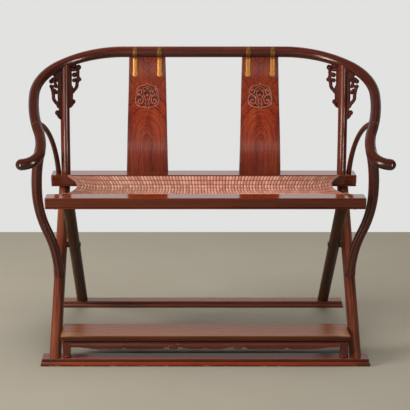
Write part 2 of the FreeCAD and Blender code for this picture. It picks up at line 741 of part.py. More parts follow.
def arm_post():
    """An S-shaped arm post, seated in a notch of the outer leg and coped to the arm."""
    post = ARM_POST.tube(0, ARM_POST.length, ARM_POST_DIAMETER)
    around = 2 * CREST_DIAMETER
    low = CREST.wrist_end - around
    high = CREST.wrist_end + around
    post = largest(post.cut(crest_envelope(low, high, JOINT_CLEARANCE)))
    post = post.fuse(end_tenon(ARM_POST, ROUND_TENON_DIAMETER, ROUND_TENON_DEPTH))
    return post.fuse(arm_post_foot_tenon()).removeSplitter()


def side_brace():
    """A thin bowed brace from the rear seat rail to the arm."""
    foot, heading = BRACE.at(0)
    brace = BRACE.tube(0, BRACE.length, BRACE_DIAMETER)
    brace = brace.fuse(rod(foot - heading * BRACE_DIAMETER, foot, BRACE_DIAMETER)).removeSplitter()
    brace = brace.cut(
        box(0, OVERALL_HEIGHT, -OVERALL_HEIGHT, OVERALL_HEIGHT, 0, SEAT_HEIGHT)
    )
    around = 3 * CREST_DIAMETER
    along = ARM_SCARF[0] - BRACE_SCARF_GAP
    brace = largest(brace.cut(crest_envelope(along - around, along + around, JOINT_CLEARANCE)))
    brace = brace.fuse(end_tenon(BRACE, BRACE_TENON_DIAMETER, ROUND_TENON_DEPTH))
    return brace.fuse(foot_tenon(foot, BRACE_TENON_DIAMETER)).removeSplitter()


def lock_peg(scarf, extra=0.0):
    """The round peg that locks a scarf, square to the crest rail's plane."""
    middle = CREST.at(sum(scarf) / 2)[0]
    chord = math.sqrt(CREST_RADIUS ** 2 - (LOCK_PEG_DIAMETER / 2) ** 2) + extra
    reach = CREST.normal * chord
    return rod(middle - reach, middle + reach, LOCK_PEG_DIAMETER + 2 * extra)


def crest_cutters():
    """What is let into the right half of the crest rail."""
    cutters = [
        end_tenon(POST, ROUND_TENON_DIAMETER, ROUND_TENON_DEPTH, JOINT_CLEARANCE),
        end_tenon(ARM_POST, ROUND_TENON_DIAMETER, ROUND_TENON_DEPTH, JOINT_CLEARANCE),
        end_tenon(BRACE, BRACE_TENON_DIAMETER, ROUND_TENON_DEPTH, JOINT_CLEARANCE),
        lock_peg(BACK_SCARF, JOINT_CLEARANCE),
        lock_peg(ARM_SCARF, JOINT_CLEARANCE),
        splat_head_tongue(JOINT_CLEARANCE),
    ]
    return cutters + strap_nails(JOINT_CLEARANCE)


def crest_centre():
    """The middle of the crest rail, which keeps the upper half of its two scarfs."""
    half = CREST.tube(0, BACK_SCARF[1], CREST_DIAMETER)
    rail = half.fuse(mirrored(half)).removeSplitter()
    lower = CREST.half_channel(*BACK_SCARF, CREST_DIAMETER, 1)
    rail = rail.cut(lower).cut(mirrored(lower))
    for cutter in crest_cutters():
        rail = rail.cut(cutter).cut(mirrored(cutter))
    return largest(rail)


def crest_corner():
    """The right corner of the crest rail, with the lower half of the back scarf."""
    rail = CREST.tube(BACK_SCARF[0], ARM_SCARF[1], CREST_DIAMETER)
    rail = rail.cut(CREST.half_channel(*BACK_SCARF, CREST_DIAMETER, -1))
    rail = rail.cut(CREST.half_channel(*ARM_SCARF, CREST_DIAMETER, 1))
    for cutter in crest_cutters():
        rail = rail.cut(cutter)
    return largest(rail)


def crest_arm():
    """The right arm, from its scarf to the ball of the hand grip."""
    rail = CREST.tube(ARM_SCARF[0], CREST.length, CREST_DIAMETER)
    rail = rail.cut(CREST.half_channel(*ARM_SCARF, CREST_DIAMETER, -1))
    for cutter in crest_cutters():
        rail = rail.cut(cutter)
    ball = Part.makeSphere(GRIP_BALL_DIAMETER / 2, CREST.at(CREST.length)[0])
    return largest(rail).fuse(ball).removeSplitter()


def scroll_bracket(step, drop):
    """A pierced scroll bracket beside the right back post, which follows the crest rail.

    It is drawn as flat strokes: a spine along the post with a block at its top, a loop that leaves
    the spine below the rail and returns to it, a bar across the loop with a knob at its end, and a
    hook near the foot. The step along the rail sets its side, and the drop lowers the figure.
    """
    along = crest_length_at_x(POST_X)
    top = POST.at(POST.length)[0]
    down = (POST.at(POST.length - BRACKET_LENGTH)[0] - top).normalize()
    chord = CREST.at(along + step)[0] - top
    away = (chord - down * chord.dot(down)).normalize()
    through = away.cross(down)
    edge = top + away * (POST_DIAMETER / 2) + down * drop

    def place(out, below):
        return edge + away * out + down * below

    def stroke(path, width):
        half = width / 2
        return path.band(0, path.length, -half, half, -BRACKET_THICKNESS / 2, BRACKET_THICKNESS)

    def knob(out, below):
        reach = through * (BRACKET_THICKNESS / 2)
        return rod(place(out, below) - reach, place(out, below) + reach, BRACKET_KNOB_DIAMETER)

    spine = PlanarPath(place(0, -drop), down, away).line(BRACKET_LENGTH + drop)
    block = PlanarPath(place(BRACKET_BLOCK_WIDTH / 2, -drop), down, away)
    block.line(drop + BRACKET_BLOCK_HEIGHT)
    bend = BRACKET_REACH / 2
    loop = PlanarPath(place(0, BRACKET_LOOP_TOP), away, down)
    loop.line(BRACKET_REACH - bend).arc(bend, 90)
    loop.line(BRACKET_LOOP_HEIGHT - bend - BRACKET_REACH).arc(BRACKET_REACH, 90)
    middle = BRACKET_LOOP_TOP + BRACKET_LOOP_HEIGHT * BRACKET_BAR_SHARE
    bar = PlanarPath(place(0, middle), away, down).line(BRACKET_REACH)
    hook_drop = BRACKET_LENGTH - BRACKET_HOOK_RISE
    hook_reach = BRACKET_SPINE_WIDTH / 2 + BRACKET_KNOB_DIAMETER / 2
    hook = PlanarPath(place(0, hook_drop), away, down).line(hook_reach)
    strokes = [
        stroke(block, BRACKET_BLOCK_WIDTH),
        stroke(loop, BRACKET_STROKE),
        stroke(bar, BRACKET_STROKE),
        stroke(hook, BRACKET_STROKE),
        knob(BRACKET_REACH, middle),
        knob(hook_reach, hook_drop),
        knob(BRACKET_REACH, BRACKET_BLOCK_HEIGHT),
    ]
    made = stroke(spine, 2 * BRACKET_SPINE_WIDTH)
    for piece in strokes:
        made = made.fuse(piece)
    around = 5 * CREST_DIAMETER
    made = made.cut(POST.tube(0, POST.length, POST_DIAMETER + 2 * JOINT_CLEARANCE))
    made = made.cut(crest_envelope(along - around, along + around, JOINT_CLEARANCE))
    return largest(made.removeSplitter())


FOOTREST_FRONT = -FOOTPRINT_DEPTH / 2 + FOOTREST_SETBACK
FOOTREST_REAR = FOOTREST_FRONT + FOOTREST_DEPTH
FOOTREST_HALF = OUTER_LEG_X - LEG_RADIUS - FOOTREST_SIDE_GAP
FOOTREST_UNDERSIDE = FOOTREST_TOP_HEIGHT - FOOTREST_BOARD_THICKNESS
WAIST_UNDERSIDE = FOOTREST_UNDERSIDE - WAIST_HEIGHT
FOOTREST_PIVOT = point_at_height(OUTER_LEG_ENDS, FOOTREST_TOP_HEIGHT - FOOTREST_BOARD_THICKNESS / 2)


def footrest_pin_bar(extra=0.0):
    """A footrest pin, from inside the board's end to inside the leg."""
    inner = V(FOOTREST_HALF - FOOTREST_PIN_DEPTH - extra, FOOTREST_PIVOT.y, FOOTREST_PIVOT.z)
    outer = V(OUTER_LEG_X + extra, FOOTREST_PIVOT.y, FOOTREST_PIVOT.z)
    return rod(inner, outer, FOOTREST_PIN_DIAMETER + 2 * extra)


def footrest_board():
    """The footrest's top, rounded along its long edges and bored for its pins."""
    board = box(
        -FOOTREST_HALF, FOOTREST_HALF,
        FOOTREST_FRONT, FOOTREST_REAR,
        FOOTREST_UNDERSIDE, FOOTREST_TOP_HEIGHT,
    )
    long_edges = [edge for edge in board.Edges if abs(edge.Length - 2 * FOOTREST_HALF) < 1e-6]
    board = board.makeFillet(FOOTREST_ROUNDING, long_edges)
    pin = footrest_pin_bar(TURNING_CLEARANCE)
    return board.cut(pin).cut(mirrored(pin))


def footrest_waist():
    """The thin recessed strip between the board and the apron."""
    y0 = FOOTREST_FRONT + WAIST_INSET
    half = FOOTREST_HALF - WAIST_INSET
    return box(-half, half, y0, y0 + APRON_THICKNESS, WAIST_UNDERSIDE, FOOTREST_UNDERSIDE)


def footrest_apron():
    """The front apron between the feet, with shallow notches cut up into its lower edge."""
    y0 = FOOTREST_FRONT + APRON_INSET
    half = FOOTREST_HALF - APRON_INSET - FOOT_WIDTH
    low = WAIST_UNDERSIDE - APRON_HEIGHT
    apron = box(-half, half, y0, y0 + APRON_THICKNESS, low, WAIST_UNDERSIDE)
    notches = (
        (0.0, APRON_MIDDLE_NOTCH_WIDTH, APRON_MIDDLE_NOTCH_RISE),
        (APRON_LEAF_NOTCH_OFFSET, APRON_LEAF_NOTCH_WIDTH, APRON_LEAF_NOTCH_RISE),
        (APRON_SIDE_NOTCH_OFFSET, APRON_SIDE_NOTCH_WIDTH, APRON_SIDE_NOTCH_RISE),
    )
    for offset, width, rise in notches:
        radius = (width ** 2 / 4 + rise ** 2) / (2 * rise)
        for x in {-offset, offset}:
            centre = V(x, y0, low + rise - radius)
            apron = apron.cut(rod(centre, centre + ALONG_Y * APRON_THICKNESS, 2 * radius))
    return apron.removeSplitter()


def footrest_rear_apron():
    """The plain strip under the rear edge of the board."""
    y1 = FOOTREST_REAR - APRON_INSET
    half = FOOTREST_HALF - APRON_INSET
    low = WAIST_UNDERSIDE - APRON_HEIGHT / 2
    return box(-half, half, y1 - APRON_THICKNESS, y1, low, FOOTREST_UNDERSIDE)


def footrest_foot():
    """The right front foot: hollowed on its outer side above a round pad on the base rail."""
    x1 = FOOTREST_HALF - APRON_INSET
    x0 = x1 - FOOT_WIDTH
    y0 = FOOTREST_FRONT + APRON_INSET
    low = FRONT_BASE_HEIGHT + FACE_CLEARANCE
    neck = low + FOOT_PAD_HEIGHT
    foot = box(x0, x1, y0, y0 + FOOT_DEPTH, neck, WAIST_UNDERSIDE)
    rise = WAIST_UNDERSIDE - neck
    hollow = FOOT_WIDTH - FOOT_NECK_WIDTH
    radius = (rise ** 2 + hollow ** 2) / (2 * hollow)
    centre = V(x1 + radius - hollow, y0, neck)
    foot = foot.cut(rod(centre, centre + ALONG_Y * FOOT_DEPTH, 2 * radius))
    middle = V(x0 + FOOT_WIDTH / 2, y0 + FOOT_DEPTH / 2, low)
    pad = rod(middle, middle + ALONG_Z * FOOT_PAD_HEIGHT, FOOT_PAD_DIAMETER)
    return foot.fuse(pad).removeSplitter()


def seat_web():
    """The woven web between the seat rails: a thin sheet that sags, with drawn-in ends."""
    front = FRONT_SEAT_Y + FRONT_SEAT_RAIL_DEPTH / 2 + FACE_CLEARANCE
    rear = REAR_SEAT_Y - REAR_SEAT_RAIL_DEPTH / 2 - FACE_CLEARANCE
    middle = (front + rear) / 2
    high = SEAT_HEIGHT - SEAT_RAIL_ROUNDING - WEB_DROP
    low = high - WEB_THICKNESS
    top = Part.Arc(V(0, front, high), V(0, middle, high - WEB_SAG), V(0, rear, high)).toShape()
    bottom = Part.Arc(V(0, rear, low), V(0, middle, low - WEB_SAG), V(0, front, low)).toShape()
    ends = [
        Part.LineSegment(V(0, rear, high), V(0, rear, low)).toShape(),
        Part.LineSegment(V(0, front, low), V(0, front, high)).toShape(),
    ]
    face = Part.Face(Part.Wire([top, ends[0], bottom, ends[1]]))
    face.translate(V(-WEB_HALF, 0, 0))
    web = face.extrude(V(2 * WEB_HALF, 0, 0))
    chord = (rear - front) / 2
    radius = (chord ** 2 + WEB_WAIST_DEPTH ** 2) / (2 * WEB_WAIST_DEPTH)
    centre = V(WEB_HALF - WEB_WAIST_DEPTH + radius, middle, low - 2 * WEB_SAG)
    waist = rod(centre, centre + ALONG_Z * (WEB_THICKNESS + 4 * WEB_SAG), 2 * radius)
    return largest(web.cut(waist).cut(mirrored(waist)))


def grouped(solids):
    """Like pieces in one group, each a solid of its own."""
    return Part.makeCompound([solid for shape in solids for solid in shape.Solids])


def all_pieces():
    """Every sub-part by name."""
    pieces = {
        "front_base_rail": front_base_rail(),
        "rear_base_rail": rear_base_rail(),
        "front_seat_rail": front_seat_rail(),
        "rear_seat_rail": rear_seat_rail(),
        "crest_centre": crest_centre(),
        "footrest_board": footrest_board(),
        "footrest_waist": footrest_waist(),
        "footrest_apron": footrest_apron(),
        "footrest_rear_apron": footrest_rear_apron(),
        "seat_web": seat_web(),
    }
    right = {
        "outer_leg": outer_leg(),
        "inner_leg": inner_leg(),
        "crest_corner": crest_corner(),
        "crest_arm": crest_arm(),
        "back_post": back_post(),
        "back_splat": splat(),
        "arm_post": arm_post(),
        "side_brace": side_brace(),
        "outer_bracket": scroll_bracket(BRACKET_REACH, OUTER_BRACKET_DROP),
        "inner_bracket": scroll_bracket(-BRACKET_REACH, 0.0),
        "inner_strap": strap(strap_xs()[0]),
        "outer_strap": strap(strap_xs()[1]),
        "footrest_foot": footrest_foot(),
        "footrest_pin": footrest_pin_bar(),
        "cord_peg": cord_peg(CORD_PEG_X),
    }
    right.update(pivot_pieces())
    for name, shape in right.items():
        pieces[name + "_right"] = shape
        pieces[name + "_left"] = mirrored(shape)
    pegs = [lock_peg(BACK_SCARF), lock_peg(ARM_SCARF)]
    nails = strap_nails()
    pieces["crest_lock_pegs"] = grouped(pegs + [mirrored(peg) for peg in pegs])
    pieces["strap_nails"] = grouped(nails + [mirrored(nail) for nail in nails])
    return pieces


os.makedirs("parts", exist_ok=True)
for node, shape in all_pieces().items():
    shape.exportStep("parts/" + node + ".step")
print("fold axis at y", round(PIVOT.y, 4), "z", round(PIVOT.z, 4))
print("footrest axis at y", round(FOOTREST_PIVOT.y, 4), "z", round(FOOTREST_PIVOT.z, 4))
print("arm at", CREST.at(CREST.wrist_end)[0], "grip end", CREST.at(CREST.length)[0])
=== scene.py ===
"""Looks of the two-seat folding chair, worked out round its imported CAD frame.

Lengths are in metres. +Z is up, the front faces -Y, and +X is the right of someone who looks at
the front. A piece on the right is worked out, and its left twin mirrors it.
"""
import math

import bmesh
import bpy
import numpy as np
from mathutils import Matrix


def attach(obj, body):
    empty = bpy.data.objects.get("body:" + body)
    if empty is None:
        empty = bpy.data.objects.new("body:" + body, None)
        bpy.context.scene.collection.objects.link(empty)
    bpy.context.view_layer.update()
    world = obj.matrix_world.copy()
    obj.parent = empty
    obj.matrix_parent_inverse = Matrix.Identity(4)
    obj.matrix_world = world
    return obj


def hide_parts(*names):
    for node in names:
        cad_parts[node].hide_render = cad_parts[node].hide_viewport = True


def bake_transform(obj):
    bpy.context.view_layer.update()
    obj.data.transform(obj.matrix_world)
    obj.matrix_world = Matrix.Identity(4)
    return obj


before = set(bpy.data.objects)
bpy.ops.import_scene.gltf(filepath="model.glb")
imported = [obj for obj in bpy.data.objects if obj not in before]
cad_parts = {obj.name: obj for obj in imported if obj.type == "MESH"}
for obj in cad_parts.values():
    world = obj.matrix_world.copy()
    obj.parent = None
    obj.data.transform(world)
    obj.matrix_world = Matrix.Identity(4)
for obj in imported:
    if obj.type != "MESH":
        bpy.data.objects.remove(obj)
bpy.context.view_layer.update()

# Sizes that the pieces share with the solids
SEAT_TOP = 0.522
FRONT_SEAT_Y, FRONT_RAIL_UNDER = -0.171, 0.4855
REAR_SEAT_Y, REAR_RAIL_UNDER = 0.171, 0.482
FRONT_BASE_Y, REAR_BASE_Y, BASE_TOP = -0.288, 0.2925, 0.023
LEG_X, INNER_LEG_X, LEG_RADIUS = 0.48, 0.437, 0.019
OUTER_LEG = ((FRONT_BASE_Y, BASE_TOP), (REAR_SEAT_Y, REAR_RAIL_UNDER))
INNER_LEG = ((REAR_BASE_Y, BASE_TOP), (FRONT_SEAT_Y, FRONT_RAIL_UNDER))
ARM_SEAM_HEIGHT, ARM_FOOT_FORWARD, ARM_FOOT_RUN = 0.232, 0.014, 0.01
ARM_BELLY_X, ARM_BELLY_HEIGHT, ARM_POST_RADIUS = 0.5415, 0.54, 0.017
BRACE_OUT, BRACE_FORWARD, BRACE_LEAN = 0.0255, 0.011, math.radians(13.0)
CREST_BACK, CREST_RADIUS, CREST_SLOPE = (0.0, 0.25, 0.93), 0.018, math.radians(31.7)
SHOULDER_RADIUS, SHOULDER_TURN, CORNER_RADIUS = 0.355, 37.7, 0.189
ARM_SPREAD, ARM_RADIUS, WRIST_RADIUS, WRIST_TURN = 0.0845, 0.587, 0.259, 17.8
GRIP_RUN, GRIP_RADIUS, GRIP_TURN, GRIP_STUB, GRIP_BALL = 0.018, 0.058, 80.0, 0.006, 0.0185
BACK_LAP, ARM_LAP_HALF = (0.264, 0.324), 0.03
POST_X, POST_FOOT_Y, POST_RADIUS = 0.4735, 0.157, 0.015
SPLAT_X, SPLAT_FOOT_Y = 0.194, 0.177
SPLAT_HALF_FOOT, SPLAT_HALF_HEAD, SPLAT_HALF_THICK = 0.0715, 0.062, 0.007
STRAP_OFFSET, STRAP_HALF, STRAP_DROP = 0.042, 0.0075, 0.07
BRACKET_LENGTH = 0.151
FOOTREST_HALF, FOOTREST_FRONT, FOOTREST_REAR = 0.46, -0.311, -0.189
APRON_TOP, BOARD_UNDER, BOARD_TOP = 0.077, 0.083, 0.099
WEB_HALF, WEB_FRONT, WEB_REAR = 0.454, -0.1397, 0.1317
WEB_WAIST, WEB_SAG, WEB_EDGE_HEIGHT = 0.034, 0.012, 0.514
WEB_CORDS, WEB_ROWS = 84.0, 6.0
UP = np.array((0.0, 0.0, 1.0))
MM = 0.001


def unit(vector):
    return np.asarray(vector, float) / np.linalg.norm(vector)


def smooth(share):
    """The smooth step 3 t^2 - 2 t^3 of a share held between 0 and 1."""
    share = np.clip(share, 0.0, 1.0)
    return share * share * (3.0 - 2.0 * share)


def half_round(share):
    """The height of a half circle over shares from -1 to 1, and 0 beyond them."""
    return np.sqrt(np.clip(1.0 - share ** 2, 0.0, 1.0))


def bell(distance, width):
    """A bell: e to the power of minus (distance / width) squared."""
    return np.exp(-((distance / width) ** 2))


def stacked(*parts):
    """Coordinates put together as points, each spread over the shape of the largest."""
    return np.stack(np.broadcast_arrays(*parts), axis=-1)


def run_along(points):
    """The distance gone at each point of a line."""
    return np.r_[0.0, np.cumsum(np.linalg.norm(np.diff(points, axis=0), axis=1))]


def directions(points):
    """The heading at each point of a line, from the points beside it."""
    change = np.gradient(points, axis=0)
    return change / np.linalg.norm(change, axis=1, keepdims=True)


def arc_to(ahead, aside):
    """Radius and turn of the arc that ends so far ahead of its start and aside from it."""
    return (ahead ** 2 + aside ** 2) / (2.0 * aside), 2.0 * math.degrees(math.atan2(aside, ahead))


class Route:
    """Straight runs and tangent arcs in one plane, read as arrays.

    On a run with bend k, the point t further on is
    start + (heading sin(k t) + across (1 - cos(k t))) / k. With no bend it is start + heading t.
    """

    def __init__(self, start, heading, side):
        self.normal = np.cross(heading, side)
        self.begins, self.bends, self.starts, self.headings = [], [], [], []
        self.length = 0.0
        self.end, self.heading = np.asarray(start, float), np.asarray(heading, float)

    def line(self, length):
        return self._run(length, 0.0)

    def arc(self, radius, turn):
        return self._run(radius * abs(math.radians(turn)), math.copysign(1.0 / radius, turn))

    def _run(self, length, bend):
        self.begins.append(self.length)
        self.bends.append(bend)
        self.starts.append(self.end)
        self.headings.append(self.heading)
        self.length += length
        points, headings = self.at(np.array([self.length]))
        self.end, self.heading = points[0], headings[0]
        return self

    def at(self, distance):
        """Points and headings at an array of distances; past its ends the route goes on."""
        which = np.searchsorted(self.begins, distance, side="right") - 1
        which = np.clip(which, 0, len(self.begins) - 1)
        runs = (self.begins, self.bends, self.starts, self.headings)
        begin, bend, start, heading = (np.array(run)[which] for run in runs)
        gone = distance - begin
        across = np.cross(self.normal, heading)
        turn = bend * gone
        divisor = np.where(bend == 0.0, 1.0, bend)
        ahead = np.where(bend == 0.0, gone, np.sin(turn) / divisor)[:, None]
        aside = np.where(bend == 0.0, 0.0, (1.0 - np.cos(turn)) / divisor)[:, None]
        turned = heading * np.cos(turn)[:, None] + across * np.sin(turn)[:, None]
        return start + heading * ahead + across * aside, turned


def bow(start, heading, target):
    """The one arc that leaves a point along a heading and reaches a target."""
    reach = np.asarray(target) - np.asarray(start)
    ahead = reach @ heading
    side = reach - heading * ahead
    aside = np.linalg.norm(side)
    return Route(start, heading, side / aside).arc(*arc_to(ahead, aside))


def crest_route():
    """The right half of the crest rail's centre line, from the middle of the back to the grip."""
    shoulder = math.sin(math.radians(SHOULDER_TURN))
    straight = LEG_X + ARM_SPREAD - SHOULDER_RADIUS * shoulder - CORNER_RADIUS * (1.0 - shoulder)
    forward = (0.0, -math.cos(CREST_SLOPE), -math.sin(CREST_SLOPE))
    route = Route(CREST_BACK, (1.0, 0.0, 0.0), forward).line(straight)
    route.arc(SHOULDER_RADIUS, SHOULDER_TURN).arc(CORNER_RADIUS, 90.0 - SHOULDER_TURN)
    route.widest = route.length
    route.arc(ARM_RADIUS, WRIST_TURN)
    route.wrist_start = route.length
    route.arc(WRIST_RADIUS, -WRIST_TURN)
    route.wrist_end = route.length
    return route.line(GRIP_RUN).arc(GRIP_RADIUS, -GRIP_TURN).line(GRIP_STUB)


CREST = crest_route()
ARM_LAP = (CREST.wrist_start - ARM_LAP_HALF, CREST.wrist_start + ARM_LAP_HALF)
_along = np.linspace(0.0, CREST.widest, 4001)
POST_ON_CREST = float(np.interp(POST_X, CREST.at(_along)[0][:, 0], _along))


def crest_point(distance):
    return CREST.at(np.array([distance]))[0][0]


def splat_route():
    """A splat's side profile: two equal arcs in an S, from the seat rail to the crest rail."""
    rise, back = CREST_BACK[2] - SEAT_TOP, CREST_BACK[1] - SPLAT_FOOT_Y
    radius, turn = arc_to(rise / 2.0, back / 2.0)
    route = Route((0.0, SPLAT_FOOT_Y, SEAT_TOP), UP, (0.0, 1.0, 0.0))
    return route.arc(radius, turn).arc(radius, -turn)


def arm_post_route():
    """An arm post leaves the outer leg, swells past the seat rail and bends in to the arm."""
    (y0, z0), (y1, z1) = OUTER_LEG
    foot_y = y0 + (y1 - y0) * (ARM_SEAM_HEIGHT - z0) / (z1 - z0) - ARM_FOOT_FORWARD
    foot = np.array((LEG_X, foot_y, ARM_SEAM_HEIGHT))
    top = crest_point(CREST.wrist_end)
    rise = np.array((0.0, top[1] - foot[1], top[2] - foot[2]))
    height = np.linalg.norm(rise)
    rise = rise / height
    belly = (ARM_BELLY_HEIGHT - foot[2]) / rise[2]
    radius, turn = arc_to((belly - ARM_FOOT_RUN) / 2.0, (ARM_BELLY_X - LEG_X) / 2.0)
    route = Route(foot, rise, (1.0, 0.0, 0.0)).line(ARM_FOOT_RUN)
    route.arc(radius, turn).arc(radius, -turn)
    radius, turn = arc_to(height - belly, ARM_BELLY_X - top[0])
    return route.arc(radius, -turn)


def brace_route():
    """A side brace leaves the rear seat rail leaning forward and bows to the arm."""
    foot = np.array((POST_X + BRACE_OUT, REAR_SEAT_Y - BRACE_FORWARD, SEAT_TOP))
    target = crest_point(ARM_LAP[0] - 0.008)
    towards = unit((target[0] - foot[0], target[1] - foot[1], 0.0))
    return bow(foot, towards * math.sin(BRACE_LEAN) + UP * math.cos(BRACE_LEAN), target)


POST = bow((POST_X, POST_FOOT_Y, SEAT_TOP), UP, crest_point(POST_ON_CREST))
SPLAT = splat_route()
ARM_POST = arm_post_route()
BRACE = brace_route()


class Skin:
    """A piece's surface: rows of closed rings with a grain place and, at each point, a value for
    painted shade and highlights, and for patina.
    """

    def __init__(self):
        self.points, self.grain, self.wear, self.faces = [], [], [], []
        self.count = 0

    def rings(self, points, grain, wear=0.0):
        """Neighbouring points make quads, each row closes on itself, and a face closes each end."""
        rows, around = points.shape[:2]
        index = self.count + np.arange(rows * around).reshape(rows, around)
        beside = np.roll(index, -1, axis=1)
        quads = stacked(index[:-1], beside[:-1], beside[1:], index[1:])
        self.faces += quads.reshape(-1, 4).tolist() + [index[0].tolist(), index[-1].tolist()]
        self.points.append(points.reshape(-1, 3))
        self.grain.append(grain.reshape(-1, 3))
        self.wear.append(np.broadcast_to(wear, (rows, around)).ravel())
        self.count += rows * around
        return self


def dress(name, skin, finish, body, stands_for, slot="rosewood", mirror=False, crease=32.0):
    """Makes a skin a piece: its mesh, outward faces, grain values, values for painted shade,
    highlights and patina, finish and body.

    In plain rosewood the grain is shifted by the letters of the name, so that no two pieces match.
    """
    points = np.concatenate(skin.points) * ((-1.0 if mirror else 1.0), 1.0, 1.0)
    mesh = bpy.data.meshes.new(name)
    mesh.from_pydata(points.tolist(), [], skin.faces)
    shift = np.array([sum(map(ord, name[k::3])) % 97 for k in range(3)]) * 0.31
    places = np.concatenate(skin.grain) + shift * (slot == "rosewood")
    grain = mesh.attributes.new("grain", "FLOAT_VECTOR", "POINT")
    grain.data.foreach_set("vector", places.ravel())
    # The value kept with each point paints shade and highlights in the finishes that read it, and
    # patina on the straps.
    wear = mesh.attributes.new("wear", "FLOAT", "POINT")
    wear.data.foreach_set("value", np.concatenate(skin.wear).astype(np.float32))
    shaped = bmesh.new()
    shaped.from_mesh(mesh)
    bmesh.ops.recalc_face_normals(shaped, faces=shaped.faces)
    shaped.to_mesh(mesh)
    shaped.free()
    mesh.polygons.foreach_set("use_smooth", np.ones(len(mesh.polygons), bool))
    mesh.set_sharp_from_angle(angle=math.radians(crease))
    mesh.materials.append(finish)
    made = bpy.data.objects.new(name, mesh)
    bpy.context.scene.collection.objects.link(made)
    if body:
        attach(made, body)
    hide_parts(*stands_for)
    return made


def dress_pair(name, skin, finish, body, nodes, slot="rosewood", crease=32.0):
    """The right piece and its mirrored left twin."""
    for side, mirror in (("right", False), ("left", True)):
        stands_for = [node + "_" + side for node in nodes]
        dress(name + "_" + side, skin, finish, body, stands_for, slot, mirror, crease)


def ring_angles(count):
    return np.linspace(0.0, 2.0 * np.pi, count, endpoint=False)


def swept(route, distance, aside, through):
    """Rings carried along a route: point + across times aside + plane normal times through."""
    points, heading = route.at(distance)
    across = np.cross(route.normal, heading)
    ring = points[:, None] + across[:, None] * aside[..., None] + route.normal * through[..., None]
    return ring, stacked(aside, through, distance[:, None])


def round_bar(route, distance, size, around):
    """A circle carried along a route, with a radius for each distance."""
    theta, size = ring_angles(around), size[:, None]
    return Skin().rings(*swept(route, distance, size * np.cos(theta), size * np.sin(theta)))


def rounded_rectangle(half_x, half_y, corner, per_corner=5):
    """Rings of a rectangle with rounded corners: each corner's centre plus a quarter circle.

    A point a short lead before and after each quarter keeps the long sides flat.
    """
    angle = np.radians(np.r_[0.0, np.linspace(0.0, 90.0, per_corner), 90.0])
    angle = (np.arange(4)[:, None] * np.pi / 2.0 + angle).ravel()
    around, lead = per_corner + 2, 0.0015
    sign_x = np.repeat([1.0, -1.0, -1.0, 1.0], around)
    sign_y = np.repeat([1.0, 1.0, -1.0, -1.0], around)
    off = np.zeros(4 * around)
    off[::around], off[around - 1::around] = lead, -lead
    x = sign_x * (half_x - corner) + corner * np.cos(angle) + off * np.sin(angle)
    y = sign_y * (half_y - corner) + corner * np.sin(angle) - off * np.cos(angle)
    return x, y


def make_board(name, middle_y, half, profile, corner, finish, body, node):
    """A board with a moulded edge, given as a list of (inset, height).

    Each height is a smaller rounded rectangle.
    """
    inset, height = np.array(profile, float).T[..., None]
    x, y = rounded_rectangle(half[0] - inset, half[1] - inset, corner)
    points = stacked(x, middle_y + y, height)
    dress(name, Skin().rings(points, points[..., [1, 2, 0]]), finish, body, [node])


def edge_arc(inset, height, radius, start, turn, count=6):
    """Points of a rounded edge: a centre plus a part of a circle, as (inset, height)."""
    angle = np.radians(np.linspace(start, start + turn, count))
    return [(inset - radius * np.cos(a), height + radius * np.sin(a)) for a in angle]


def smooth_curve(controls, count=40, ends=0.0):
    """A Catmull-Rom curve through control points: on each span a cubic of its four nearest points.

    With ends at 1 the points crowd towards both ends.
    """
    controls = np.asarray(controls, float)
    before, after = 2 * controls[0] - controls[1], 2 * controls[-1] - controls[-2]
    padded = np.r_[[before], controls, [after]]
    even = np.linspace(0.0, 1.0, count)
    place = (len(controls) - 1.0) * (ends * smooth(even) + (1.0 - ends) * even)
    span = np.minimum(place.astype(int), len(controls) - 2)
    t = (place - span)[:, None]
    p0, p1, p2, p3 = (padded[span + k] for k in range(4))
    square, cube = 2 * p0 - 5 * p1 + 4 * p2 - p3, 3 * p1 - p0 - 3 * p2 + p3
    return 0.5 * (2 * p1 + (p2 - p0) * t + square * t ** 2 + cube * t ** 3)


def spiral(centre, outer, inner, start, turns, count=48):
    """A spiral: centre plus a radius that falls evenly while the angle goes round."""
    share = np.linspace(0.0, 1.0, count)
    angle = math.radians(start) + 2.0 * np.pi * turns * share
    radius = outer + (inner - outer) * share
    return stacked(centre[0] + radius * np.cos(angle), centre[1] + radius * np.sin(angle))


class Value:
    """A shader socket in an expression: each operator adds one Math node."""

    def __init__(self, finish, socket):
        self.finish, self.socket = finish, socket

    def _math(self, operation, *inputs):
        return self.finish.node("ShaderNodeMath", {"operation": operation}, dict(enumerate(inputs)))

    def __add__(self, other):
        return self._math("ADD", self, other)

    def __sub__(self, other):
        return self._math("SUBTRACT", self, other)

    def __rsub__(self, other):
        return self._math("SUBTRACT", other, self)

    def __mul__(self, other):
        return self._math("MULTIPLY", self, other)

    def __pow__(self, other):
        return self._math("POWER", self, other)

    def __abs__(self):
        return self._math("ABSOLUTE", self)

    def sine(self):
        return self._math("SINE", self)

    __radd__ = __add__
    __rmul__ = __mul__


